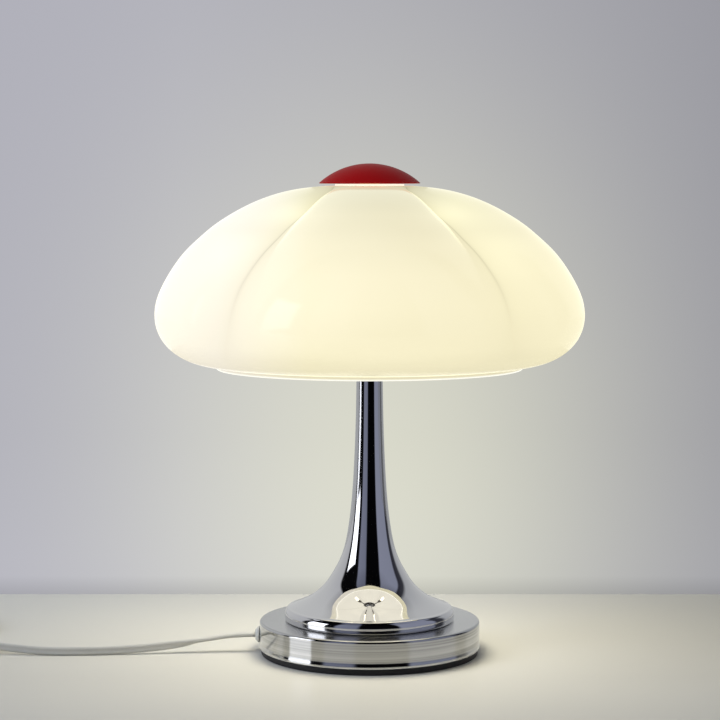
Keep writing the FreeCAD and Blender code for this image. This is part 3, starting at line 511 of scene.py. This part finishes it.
def chromeFinish():
    # bright nickel-chrome plating on polished steel: near mirror, cool, with the faintest buffing haze in
    # patches about 29 mm wide
    material, tree, coords = newMaterial("polishedChrome")
    haze = addNode(tree, "TexNoise", {"Vector": coords, "Scale": 35.0, "Detail": 4.0})
    rough = addNode(tree, "MapRange", {0: haze.outputs["Fac"], 3: 0.025, 4: 0.07})
    shader = addNode(tree, "BsdfPrincipled",
                     {"Base Color": linear("E4E4E6"), "Metallic": 1.0, "Roughness": rough.outputs[0]})
    return finished(material, shader)


def discFinish():
    # the same plating on a turned disc, a little darker: rings left by the lathe run round it, 1.4 mm apart
    # and so coarser than the real 0.2 mm, to show; the flat top is duller
    material, tree, coords = newMaterial("turnedChrome")
    rings = addNode(tree, "Mapping", {"Vector": coords, "Scale": (3.0, 3.0, 700.0)})
    streak = addNode(tree, "TexNoise", {"Vector": rings.outputs[0], "Scale": 1.0, "Detail": 5.0})
    tone = addNode(tree, "ValToRGB", {0: streak.outputs["Fac"]},
                   stops=[(0.34, linear("A9AAAB")), (0.5, linear("C6C7C8")), (0.66, linear("D6D7D8"))])
    rough = addNode(tree, "MapRange", {0: streak.outputs["Fac"], 3: 0.1, 4: 0.04})
    place = addNode(tree, "SeparateXYZ", {0: coords})
    below, upTo, haze = disc["dullTop"]
    face = addNode(tree, "MapRange", {0: place.outputs[2], 1: below, 2: upTo, 4: haze})
    dull = addNode(tree, "Math", {0: rough.outputs[0], 1: face.outputs[0]}, operation="ADD")
    shader = addNode(tree, "BsdfPrincipled",
                     {"Base Color": tone.outputs[0], "Metallic": 1.0, "Roughness": dull.outputs[0]})
    return finished(material, shader)


chrome = chromeFinish()

# Trumpet: the spun outline, its foot band, and the inside parallel to it
# the band's points are (out from its radius, height)
trumpet = {"wall": 1.2, "foot": 59.7, "seat": 23.5, "lipSlope": 0.42, "columns": 288,
           "heel": [(-2.1, 23.5), (-0.6, 24.1), (0, 25.6)], "side": [(0, 26.4), (0, 27.2)],
           "crown": [(0, 27.9), (-0.4, 29.9), (-1.4, 31.5)], "roll": (-2.1, 32.35), "innerHeel": (-4.0, -3.6),
           "outline": [(56.6, 32.6), (50.0, 35.4), (42.0, 39.5), (34.0, 45.82), (30.0, 50.4), (26.95, 55.1),
                       (20.4, 67.3), (14.9, 89.1), (11.0, 131.5), (9.3, 186.5), (9.1, 262.0)]}


def trumpetPoints():
    # profile up the foot band, over its lip, up the flare, and down the inside a wall's thickness in
    foot, lip, (rollOut, rollZ) = trumpet["foot"], trumpet["outline"][0], trumpet["roll"]
    heel, side, crown = ([(foot + out, z) for out, z in trumpet[k]] for k in ("heel", "side", "crown"))
    band = np.concatenate([arcThrough(*heel, 14), side, arcThrough(*crown, 12),
                           arcThrough(crown[-1], (foot + rollOut, rollZ), lip, 12)[1:]])
    start = np.array([-1.0, trumpet["lipSlope"]])
    flare = splineThrough(trumpet["outline"], 150, start / np.linalg.norm(start), (0.0, 1.0))
    inside = insideOf(flare, trumpet["wall"])[::-1]
    upper, lower = trumpet["innerHeel"]
    close = np.array([(foot + upper, inside[-1, 1] - 1.0), (foot + lower, trumpet["seat"])])
    return np.concatenate([band, flare[1:], inside, close])


def insideOf(profile, wall):
    # the profile moved square to itself, to the left of its run, by the wall's thickness
    way = np.gradient(profile, axis=0)
    way /= np.linalg.norm(way, axis=1)[:, None]
    return profile + wall * np.stack([-way[:, 1], way[:, 0]], 1)


trumpetBody = meshFrom("trumpetBody", revolved(trumpetPoints(), trumpet["columns"]), chrome, closeRows=True)
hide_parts("trumpet_stem")

# Base disc: a drawn cup with a rounded shoulder and a small bead rolled out at its lower edge
disc = {"radius": 77.4, "bottom": 4.2, "top": 23.5, "edge": 1.8, "sheet": 1.2, "bend": 1.0, "hole": 6.0,
        "columns": 288, "wallFrom": 6.5, "join": 0.1, "dullTop": (0.0232, 0.02345, 0.17),
        "bead": [(0.0, 6.0), (0.0, 4.8), (0.1, 3.6), (0.32, 2.3), (0.42, 1.2), (0.2, 0.3), (-0.5, 0.0)]}


def discPoints():
    # outside from the bead up over the shoulder to the middle hole, then back inside
    radius, bottom, top, edge, sheet = (disc[k] for k in ("radius", "bottom", "top", "edge", "sheet"))
    bend, hole, join = (disc[k] for k in ("bend", "hole", "join"))
    inner, under = radius - sheet, top - sheet
    k = 1 - math.sqrt(0.5)
    bead = splineThrough(np.array(disc["bead"]) + (radius, bottom), 36, (0.0, -1.0), (-1.0, -0.1))[::-1]
    shoulder = arcThrough((radius, top - edge), (radius - edge * k, top - edge * k), (radius - edge, top), 14)
    within = arcThrough((inner - bend, under), (inner - bend * k, under - bend * k), (inner, under - bend), 6)
    wallRows = np.stack([np.full(6, radius), np.linspace(bottom + disc["wallFrom"], top - edge - join, 6)], 1)
    topRows = np.stack([np.linspace(radius - edge - join, hole, 12), np.full(12, top)], 1)
    return np.concatenate([bead, wallRows, shoulder, topRows, [(hole, under)], within, [(inner, bottom)]])


discBody = meshFrom("discBody", revolved(discPoints(), disc["columns"]), discFinish(), closeRows=True)
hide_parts("base_cover")
print("trumpet and disc")


# Shade: four lobes, as a smooth union of circles at each level; a station is (radius, height, offset)
shade = {"wall": 3.0, "collar": 106.9, "bore": 104.0, "collarFoot": 200.9, "neck": 4.0, "hole": 5.6,
         "crest": 28.5, "columns": 288, "crowding": 0.35, "creaseFrom": 205, "creaseTo": 328, "creaseTop": 0.5,
         "creaseLow": 9.0, "creaseBend": 0.8, "lobedFrom": 20, "creaseShade": 0.9, "creaseSpread": 0.08,
         "creaseFade": (2.2, 0.5), "foldShade": 15.0, "topGlowGain": 0.9, "topGlowFrom": 298, "topGlowOver": 22,
         "stations": [
             (107.0, 203.5, 0.0), (120.1, 205.4, 4.0), (135.8, 212.3, 15.5), (145.7, 223.0, 37.0),
             (149.6, 235.6, 48.5), (148.3, 248.7, 52.5), (143.0, 261.3, 53.5), (136.1, 272.7, 55.5),
             (128.0, 283.1, 57.0), (118.7, 292.0, 57.0), (109.4, 299.9, 55.5), (96.5, 308.5, 52.0),
             (81.0, 316.6, 44.5), (65.0, 322.5, 35.5), (47.0, 326.4, 22.0), (30.5, 328.0, 0.0)]}


def lobeReach(turn, radius, offset):
    # distance from the axis to a circle of radius (radius - offset) whose centre lies offset out at turn 0
    inside = np.maximum((radius - offset) ** 2 - (offset * np.sin(turn)) ** 2, 0)
    return offset * np.cos(turn) + np.sqrt(inside)


def shadeLevel(stations, columns):
    # r = max(a, b) + soft / 4 (1 - |a - b| / soft)^2 for the reaches a and b of two neighbouring lobes; the
    # blend is tight near the top and wide low down, and the columns crowd towards the creases
    even = np.linspace(-math.pi / 4, math.pi / 4, columns // 4, endpoint=False)
    turn = math.pi / 4 * np.sin(even * 2) * shade["crowding"] + even * (1 - shade["crowding"])
    turn = np.concatenate([turn + math.pi / 2 * k for k in range(4)])
    near = np.abs((turn + math.pi / 4) % (math.pi / 2) - math.pi / 4)
    radius, height, offset = (stations[:, i, None] for i in range(3))
    a, b = lobeReach(near, radius, offset), lobeReach(math.pi / 2 - near, radius, offset)
    rise = np.clip((height - shade["creaseFrom"]) / (shade["creaseTo"] - shade["creaseFrom"]), 0, 1)
    soft = shade["creaseLow"] + (shade["creaseTop"] - shade["creaseLow"]) * rise ** shade["creaseBend"]
    lobed = np.clip(offset / shade["lobedFrom"], 0, 1)
    apart = np.abs(a - b)
    reach = np.maximum(a, b) + (np.maximum(soft - apart, 0) / soft) ** 2 * soft / 4 * lobed
    points = np.stack([reach * np.cos(turn), reach * np.sin(turn), np.broadcast_to(height, reach.shape)], -1)
    steep, start = shade["creaseFade"]
    # painted shade along the creases, tight and strongest near the top
    valley = np.exp(-apart / (shade["creaseShade"] + soft * shade["creaseSpread"]))
    valley *= np.clip(rise * steep - start, 0, 1)
    # closeness to a fold, for the folds' painted shade and their lost gloss
    fold = np.exp(-apart / shade["foldShade"])
    # painted glow, made stronger towards the top of the shade
    topGlowScale = 1 + shade["topGlowGain"] * np.clip((height - shade["topGlowFrom"]) / shade["topGlowOver"], 0, 1)
    near = lobeLight(points, stations) * topGlowScale
    return points, {"crease": valley * lobed, "fold": fold * lobed, "near": near}


# Bulbs as the shade sees them: the two ends of each capsule as (out from the axis, height)
bulb = {"ends": [(60.0, 293.0), (92.0, 268.0)], "azimuths": {"left": 210.0, "right": 330.0, "back": 90.0},
        "even": 0.3, "facing": 0.7, "reach": 50.0, "falloff": 1.5}


def lobeLight(points, stations):
    # painted glow from the bulbs: sum of (even + facing |cosine|) (reach / distance)^falloff, as a mean over
    # each bulb's two ends, for the normal of the lobe that a point is on; for a circle of radius r - o round
    # (o, 0) on a profile (r, z, o) that normal is (z' e, -(o' e.x + r' - o'))
    axis = np.round(np.arctan2(points[..., 1], points[..., 0]) / (math.pi / 2)) * math.pi / 2
    along = np.stack([np.cos(axis), np.sin(axis)], -1)
    outwards = points[..., :2] - stations[:, 2, None, None] * along
    outwards /= np.linalg.norm(outwards, axis=-1, keepdims=True)
    reachStep, heightStep, offsetStep = (np.gradient(stations[:, i])[:, None] for i in range(3))
    slope = -(offsetStep * (outwards * along).sum(-1) + reachStep - offsetStep)
    normal = np.concatenate([outwards * heightStep[..., None], slope[..., None]], -1)
    normal /= np.linalg.norm(normal, axis=-1, keepdims=True) + 1e-9
    total = np.zeros(slope.shape)
    for azimuth in bulb["azimuths"].values():
        turn = math.radians(azimuth)
        for out, height in bulb["ends"]:
            way = points - (out * math.cos(turn), out * math.sin(turn), height)
            gap = np.linalg.norm(way, axis=-1)
            level = bulb["even"] + bulb["facing"] * np.abs((normal * way).sum(-1)) / gap
            total += level * (bulb["reach"] / gap) ** bulb["falloff"]
    return total / len(bulb["ends"])


def shadeStations():
    # outside from the collar's foot to the top hole, then inside back to the collar
    outer = splineThrough(shade["stations"], 150)
    inner = outer.copy()
    inner[:, :2] = insideOf(outer[:, :2], shade["wall"])
    foot, collarR, bore, hole, neck = (shade[k] for k in ("collarFoot", "collar", "bore", "hole", "neck"))
    inner = inner[inner[:, 1] > foot + neck][::-1]
    top = shade["stations"][-1][1]
    lip = [(bore, foot + 0.4, 0), (bore + 0.4, foot, 0), (collarR - 0.6, foot, 0), (collarR, foot + 0.5, 0),
           (collarR, foot + 1.4, 0)]
    crest = [(r, top, 0) for r in np.linspace(shade["crest"], hole, 8)]
    under = [(r, top - shade["wall"], 0) for r in np.linspace(hole, shade["crest"] - 0.5, 8)]
    sleeve = [(bore, foot + neck, 0), (bore, foot + neck / 2, 0)]
    stations = np.concatenate([lip, outer, crest, under, inner, sleeve])
    within = np.zeros(len(stations))
    within[len(lip) + len(outer) + len(crest):] = 1.0
    return stations, within


# Heights are in millimetres with the painted glow's level at each; leftFrom and lipFrom are ranges in metres
opal = {"glow": "EAE1BC", "nearLeft": "4B4D55", "nearRight": "4B4C3B", "cool": "1C2058", "inside": "EFEAD9",
        "lip": "F4F2E6", "milk": "A09E97", "cloud": "9A988F", "paintedShadeTone": "3E3D39", "foldShadeDepth": 0.6,
        "foldGloss": 0.28, "gloss": 0.5, "valley": 0.76, "leftFrom": (-0.04, -0.1),
        "lipFrom": (0.2024, 0.2015), "span": (200.0, 330.0),
        "heights": [(201.2, 0.66), (204.0, 0.76), (212.0, 0.9), (222.0, 0.97), (250.0, 1.0), (270.0, 0.98),
                    (290.0, 0.9), (308.0, 0.78), (320.0, 0.62), (328.0, 0.54)]}


def opalFinish():
    # opal acrylic, blow moulded and flame polished: milky with clouds 70 mm wide; the light from inside
    # is painted on as a glow: whiter near each bulb, with painted daylight from the left and painted shade
    # in the creases and folds, and a soft clear gloss that the deep folds lose
    material, tree, coords = newMaterial("opalAcrylic")
    place = addNode(tree, "SeparateXYZ", {0: coords})
    foot, top = opal["span"]
    share = addNode(tree, "MapRange", {0: place.outputs[2], 1: foot * mm, 2: top * mm}).outputs[0]
    stops = [((z - foot) / (top - foot), (level, level, level, 1.0)) for z, level in opal["heights"]]
    height = addNode(tree, "ValToRGB", {0: share}, stops=stops).outputs[0]
    even = addNode(tree, "VectorMath", {0: linear(opal["glow"])[:3], "Scale": height},
                   operation="SCALE")
    near = addNode(tree, "Attribute", attribute_name="near").outputs["Fac"]
    # painted daylight: the glow turns bluer and whiter towards the shade's left side
    leftNone, leftFull = opal["leftFrom"]
    left = addNode(tree, "MapRange", {0: place.outputs[0], 1: leftNone, 2: leftFull}).outputs[0]
    sideTone = addNode(tree, "Mix", {0: left, 6: linear(opal["nearRight"]),
                                     7: linear(opal["nearLeft"])}, data_type="RGBA").outputs[2]
    warm = addNode(tree, "VectorMath", {0: sideTone, 1: near, 2: even.outputs[0]},
                   operation="MULTIPLY_ADD").outputs[0]
    spots = addNode(tree, "VectorMath", {0: linear(opal["cool"])[:3], 1: left, 2: warm},
                    operation="MULTIPLY_ADD").outputs[0]
    # painted light: the inside of the shade glows brighter, in the inside colour
    within = addNode(tree, "Attribute", attribute_name="within").outputs["Fac"]
    sides = addNode(tree, "Mix", {0: within, 6: spots, 7: linear(opal["inside"])}, data_type="RGBA")
    # painted glow: a brighter white line along the lip's lower edge
    lipNone, lipFull = opal["lipFrom"]
    low = addNode(tree, "MapRange", {0: place.outputs[2], 1: lipNone, 2: lipFull}).outputs[0]
    lit = addNode(tree, "Mix", {0: low, 6: sides.outputs[2], 7: linear(opal["lip"])}, data_type="RGBA")
    # painted shade: the glow dims to valley along the creases
    crease = addNode(tree, "Attribute", attribute_name="crease").outputs["Fac"]
    fold = addNode(tree, "Attribute", attribute_name="fold").outputs["Fac"]
    valley = addNode(tree, "MapRange", {0: crease, 3: 1.0, 4: opal["valley"]}).outputs[0]
    cloud = addNode(tree, "TexNoise", {"Vector": coords, "Scale": 14.0, "Detail": 3.0})
    milk = addNode(tree, "Mix", {0: cloud.outputs["Fac"], 6: linear(opal["milk"]),
                                 7: linear(opal["cloud"])}, data_type="RGBA")
    sheen = addNode(tree, "MapRange",
                    {0: fold, 2: opal["foldGloss"], 3: opal["gloss"], 4: 0.0}).outputs[0]
    # painted shade: the base colour darkens near the folds, and inside, where the painted glow gives the look
    shaded = addNode(tree, "Math", {0: fold, 1: opal["foldShadeDepth"], 2: within},
                     operation="MULTIPLY_ADD").outputs[0]
    tint = addNode(tree, "Mix", {0: shaded, 6: milk.outputs[2], 7: linear(opal["paintedShadeTone"])},
                   data_type="RGBA")
    shader = addNode(tree, "BsdfPrincipled",
                     {"Base Color": tint.outputs[2], "Roughness": 0.12, "IOR": 1.49,
                      "Specular IOR Level": sheen, "Emission Color": lit.outputs[2],
                      "Emission Strength": valley})
    material.cycles.emission_sampling = "NONE"
    return finished(material, shader)


def shadeBody():
    stations, within = shadeStations()
    points, fields = shadeLevel(stations, shade["columns"])
    fields["within"] = np.broadcast_to(within[:, None], points.shape[:2])
    body = meshFrom("shadeShell", points, opalFinish(), closeRows=True, body="shade_shell", fields=fields)
    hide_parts("shade")


shadeBody()
print("shade")


def plainFinish(name, low, high, rough, scale, metallic=0.0, ior=1.5, bumpMm=0.05, strength=0.2,
                stretch=(1, 1, 1)):
    # a finish with two close tones, a grain of its own scale and a little relief from the same grain; scale
    # counts the grains in a metre, and each is drawn coarser than the real texture, so that it shows
    material, tree, coords = newMaterial(name)
    grainPlace = addNode(tree, "Mapping", {"Vector": coords, "Scale": stretch})
    grain = addNode(tree, "TexNoise", {"Vector": grainPlace.outputs[0], "Scale": scale, "Detail": 4.0})
    tone = addNode(tree, "Mix", {0: grain.outputs["Fac"], 6: linear(low), 7: linear(high)},
                   data_type="RGBA")
    bump = addNode(tree, "Bump", {"Strength": strength, "Distance": bumpMm * mm,
                                  "Height": grain.outputs["Fac"]})
    shader = addNode(tree, "BsdfPrincipled", {"Base Color": tone.outputs[2], "Metallic": metallic,
                                              "Roughness": rough, "Normal": bump.outputs[0]})
    if not metallic:
        shader.inputs["IOR"].default_value = ior
    return finished(material, shader)


def glowFinish(name, colour, dim, strength, rough):
    # frosted glass with a lamp in it, or thin silicone with the shade's light painted on it as a glow:
    # even warm light with faint clouds of 4 mm
    material, tree, coords = newMaterial(name)
    frost = addNode(tree, "TexNoise", {"Vector": coords, "Scale": 260.0, "Detail": 3.0})
    tone = addNode(tree, "Mix", {0: frost.outputs["Fac"], 6: linear(colour), 7: linear(dim)},
                   data_type="RGBA")
    shader = addNode(tree, "BsdfPrincipled",
                     {"Base Color": tone.outputs[2], "Roughness": rough, "IOR": 1.46,
                      "Emission Color": tone.outputs[2], "Emission Strength": strength})
    material.cycles.emission_sampling = "NONE"
    return finished(material, shader)


def redLacquer():
    # satin red stoving lacquer sprayed on a spun metal dome: deep even colour, soft broad gloss, and faint
    # orange peel with a pitch of 2 mm
    material, tree, coords = newMaterial("redLacquer")
    drift = addNode(tree, "TexNoise", {"Vector": coords, "Scale": 45.0, "Detail": 3.0})
    tone = addNode(tree, "Mix", {0: drift.outputs["Fac"], 6: linear("BC0D13"), 7: linear("B00A0F")},
                   data_type="RGBA")
    peel = addNode(tree, "TexNoise", {"Vector": coords, "Scale": 500.0, "Detail": 2.0})
    bump = addNode(tree, "Bump",
                   {"Strength": 0.12, "Distance": 0.04 * mm, "Height": peel.outputs["Fac"]})
    shader = addNode(tree, "BsdfPrincipled",
                     {"Base Color": tone.outputs[2], "Roughness": 0.45, "IOR": 1.5,
                      "Specular IOR Level": 0.07, "Normal": bump.outputs[0]})
    return finished(material, shader)


# The parting line of the in-line switch, in metres
seam = {"height": 0.0065, "line": (0.00018, 0.00034), "tone": "4E4D49"}


def shellFinish():
    # ABS shells, injection moulded and polished: off-white and glossy, with a dark hairline where they meet
    material = plainFinish("switchShells", "E0DFDA", "E6E5E1", 0.34, 900.0)
    tree = material.node_tree
    shader = next(node for node in tree.nodes if node.type == "BSDF_PRINCIPLED")
    tone = shader.inputs["Base Color"].links[0].from_socket
    height = addNode(tree, "SeparateXYZ", {0: addNode(tree, "TexCoord").outputs["Object"]})
    away = addNode(tree, "Math", {0: height.outputs[2], 1: seam["height"]}, operation="SUBTRACT")
    gap = addNode(tree, "Math", {0: away.outputs[0]}, operation="ABSOLUTE")
    dark, bright = seam["line"]
    line = addNode(tree, "MapRange", {0: gap.outputs[0], 1: dark, 2: bright})
    parted = addNode(tree, "Mix", {0: line.outputs[0], 6: linear(seam["tone"]), 7: tone},
                     data_type="RGBA")
    tree.links.new(parted.outputs[2], shader.inputs["Base Color"])
    return material


finishes = {
    "chrome": chrome,
    "red_enamel": redLacquer(),
    # black lacquer, sprayed on steel: deep and glossy, with barely raised grains of 3 mm
    "black_lacquer": plainFinish("blackLacquer", "121214", "18181A", 0.22, 300.0, bumpMm=0.02),
    # rubber, moulded: near black and dull
    "black_rubber": plainFinish("mouldedRubber", "17171A", "1E1E21", 0.62, 700.0),
    # grey iron, cast in sand: dark, rough and grainy
    "cast_iron": plainFinish("castIron", "3A3A3C", "4B4A48", 0.75, 420.0, metallic=0.6, bumpMm=0.3,
                             strength=0.6),
    # steel, bright zinc plated: pale grey metal with cloudy grains of 4 mm
    "steel": plainFinish("zincSteel", "A9AAAD", "B9BABD", 0.3, 260.0, metallic=1.0),
    # brass, turned: yellow metal with fine rings across its length
    "brass": plainFinish("turnedBrass", "CDB06E", "DCC285", 0.34, 260.0, metallic=1.0, stretch=(1, 1, 6)),
    # nylon, moulded: warm white and waxy
    "nylon": plainFinish("mouldedNylon", "D8D6CC", "E0DED5", 0.45, 300.0),
    # clear PVC, moulded: pale and smooth, drawn opaque because the cord fills it
    "clear_plastic": plainFinish("clearPvc", "C9CBC8", "D6D8D5", 0.18, 200.0),
    # the shade's light painted on the silicone gasket as a glow
    "silicone": glowFinish("siliconeSheet", "EFEADB", "E6E1D2", 0.45, 0.5),
    # steatite, pressed and glazed dark brown: smooth with a soft gloss
    "ceramic": plainFinish("glazedSteatite", "1D1B1A", "282523", 0.3, 500.0, bumpMm=0.04),
    "lamp_glass": glowFinish("frostedGlass", "FFFBEC", "FFF3D8", 0.8, 0.2),
    # ABS, moulded in a fine spark-eroded tool: off-white, even and satin
    "white_plastic": plainFinish("mouldedAbs", "DEDDD8", "E4E3DF", 0.36, 900.0),
    "cord_pvc": bpy.data.materials["cordPvc"],
    "opal_acrylic": bpy.data.materials["opalAcrylic"],
}


def lathe(name, node, corners, slot, start=(0, 0, 0), ahead=(0, 0, 1.0), body="root", columns=64,
          closed=False):
    # an outline of (radius, along, rounding) turned about the line from start along ahead, in place of a node
    profile = roundedCorners(corners) if closed else openRounded(corners)
    points = placed(revolved(profile, columns), start, ahead)
    piece = meshFrom(name, points, finishes[slot], closeRows=closed, body=body, sharp=50)
    if node:
        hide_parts(node)


def openRounded(corners):
    # the same rounding for an outline whose two ends lie on the axis
    return roundedCorners([*corners, (-1.0, corners[-1][1], 0), (-1.0, corners[0][1], 0)], 6)[:-2]


def roundTube(line, radius, across, columns=32):
    # line + radius (cos t across + sin t up), for a line that lies in the plane square to across
    ahead = np.gradient(line, axis=0)
    ahead /= np.linalg.norm(ahead, axis=1)[:, None]
    up = np.cross(ahead, across)
    turn = np.linspace(0, 2 * math.pi, columns, endpoint=False)[:, None]
    return line[:, None] + radius * (np.cos(turn) * across + np.sin(turn) * up[:, None])


# Light cluster: hub and lid, and for each lamp an arm, a holder and a capsule bulb on two pins
cluster = {"armRadius": 3.0, "armRoute": [(8.2, 271.5), (19.0, 271.5), (32.0, 288.0), (47.2, 283.1)],
           "hub": [(5.2, 266, 0), (12.4, 266, 1.2), (12.4, 274.9, 0.3), (5.2, 274.9, 0)],
           "lid": [(5.2, 275.1, 0), (12.4, 275.1, 0.3), (12.4, 276.2, 0.8), (9.9, 278, 0.8), (5.2, 278, 0)],
           "holder": [(0, 0, 0), (5.2, 0, 0.4), (5.2, 3, 0.8), (7.9, 4.2, 0.8), (8.5, 5.4, 0.6),
                      (8.5, 20.8, 0.6), (7.3, 22, 0.3), (6.8, 22, 0.2), (6.8, 13, 0.4), (0, 13, 0)],
           "glass": [(0, 0.3, 0), (6.5, 0.3, 1.0), (6.5, 11.5, 0.8), (7.2, 12.9, 0.8), (7.2, 39, 7.1),
                     (0, 39, 0)],
           "pin": [(0, -7, 0), (0.7, -7, 0.25), (0.7, 1, 0), (0, 1, 0)], "pinPitch": 9.0, "pocket": 13.0}


def lightArm(side, azimuth):
    # everything on one arm, outwards from the hub
    turn = math.radians(azimuth)
    out = np.array([math.cos(turn), math.sin(turn), 0])
    across = np.array([-math.sin(turn), math.cos(turn), 0])
    route = [out * r + (0, 0, z) for r, z in cluster["armRoute"]]
    ahead = (route[-1] - route[-2]) / np.linalg.norm(route[-1] - route[-2])
    line = routeLine("arm_" + side, route)
    tube = meshFrom("armTube_" + side, roundTube(line, cluster["armRadius"], across),
                    finishes["black_lacquer"])
    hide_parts("arm_" + side)
    lathe("holderBody_" + side, "holder_" + side, cluster["holder"], "ceramic", route[-1], ahead)
    seat = route[-1] + ahead * cluster["pocket"]
    lathe("bulbGlass_" + side, "bulb_" + side, cluster["glass"], "lamp_glass", seat, ahead, side + "_bulb")
    for end in (-0.5, 0.5):
        place = seat + across * end * cluster["pinPitch"]
        lathe("bulbPin_" + side, None, cluster["pin"], "steel", place, ahead, side + "_bulb", 16)


for side, azimuth in bulb["azimuths"].items():
    lightArm(side, azimuth)
lathe("hubCup", "hub_body", cluster["hub"], "black_lacquer", closed=True)
lathe("hubLid", "hub_cover", cluster["lid"], "black_lacquer", closed=True)
print("cluster")

# Cap, grommet and rubber ring, each turned about its own line
turnedPieces = {"cap": {"radius": 35.1, "rim": 330.2, "top": 343.6, "wall": 1.6, "boss": 7.0, "bore": 5.0,
                        "bossFoot": 329.6, "boreTop": 341.0},
                "grommet": [(2.4, 74.7, 0), (4.9, 74.7, 0.3), (5.3, 75.3, 0.3), (4.6, 76.05, 0.2),
                            (3.95, 76.05, 0.1), (3.95, 77.55, 0.1), (5.6, 77.55, 0.35), (5.6, 78.6, 0.35),
                            (4.5, 79.5, 0.6), (3.3, 80.5, 0.4), (2.4, 80.5, 0.3)],
                "pad": [(66.4, 0, 0.5), (76.4, 0, 0.9), (76.4, 4.2, 0.3), (66.4, 4.2, 0.3)]}


def capProfile():
    # a ball's crown outside, its parallel inside, and a rounded edge between; r^2 + (z - centre)^2 = ball^2
    cap = turnedPieces["cap"]
    radius, rim, top, wall, boss, bore = (cap[k] for k in ("radius", "rim", "top", "wall", "boss", "bore"))
    ball = (radius ** 2 + (top - rim) ** 2) / (2 * (top - rim))
    centre = top - ball
    outR = np.sin(np.linspace(0, math.asin((radius - 0.3) / ball), 60)) * ball
    inR = np.linspace(radius - 2.2, boss, 30)
    outside = np.stack([outR, centre + np.sqrt(ball ** 2 - outR ** 2)], 1)
    inside = np.stack([inR, centre + np.sqrt((ball - wall) ** 2 - inR ** 2)], 1)
    edge = arcThrough(outside[-1], (radius, rim + 0.05), (radius - 0.5, rim - 0.45), 8)
    foot, deep = cap["bossFoot"], cap["boreTop"]
    socket = [(boss, foot + 0.4), (boss - 0.4, foot), (bore, foot), (bore, deep), (0, deep)]
    return np.concatenate([outside, edge[1:], [(radius - wall, rim - 0.3)], inside, socket])


capShell = meshFrom("capShell", revolved(capProfile(), 192), finishes["red_enamel"], body="cap_dome",
                    sharp=50)
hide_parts("cap")
lathe("grommetBush", "cord_grommet", turnedPieces["grommet"], "clear_plastic", (0, 0, stretchRoute[0][2]),
      (-1.0, 0, 0), closed=True)
lathe("padRing", "base_pad", turnedPieces["pad"], "black_rubber", closed=True, columns=256)
print("turned pieces")

# The remaining nodes keep their CAD meshes and get their slot's finish
slotOf = {part["node"]: part["material_slot"] for part in frame["record"]["subparts"]}
shells = shellFinish()
# the cap washer glows with the shade's light painted on it
ownFinish = {"switch_base": shells, "switch_cover": shells,
             "cap_washer": glowFinish("litWasher", "FFFDF2", "FBF6E6", 0.75, 0.3)}
for name, node in frame["nodes"].items():
    finish = ownFinish.get(name, finishes[slotOf[name]])
    for index in range(max(1, len(node.material_slots))):
        if node.material_slots:
            node.material_slots[index].material = finish
        else:
            node.data.materials.append(finish)
print("finishes")
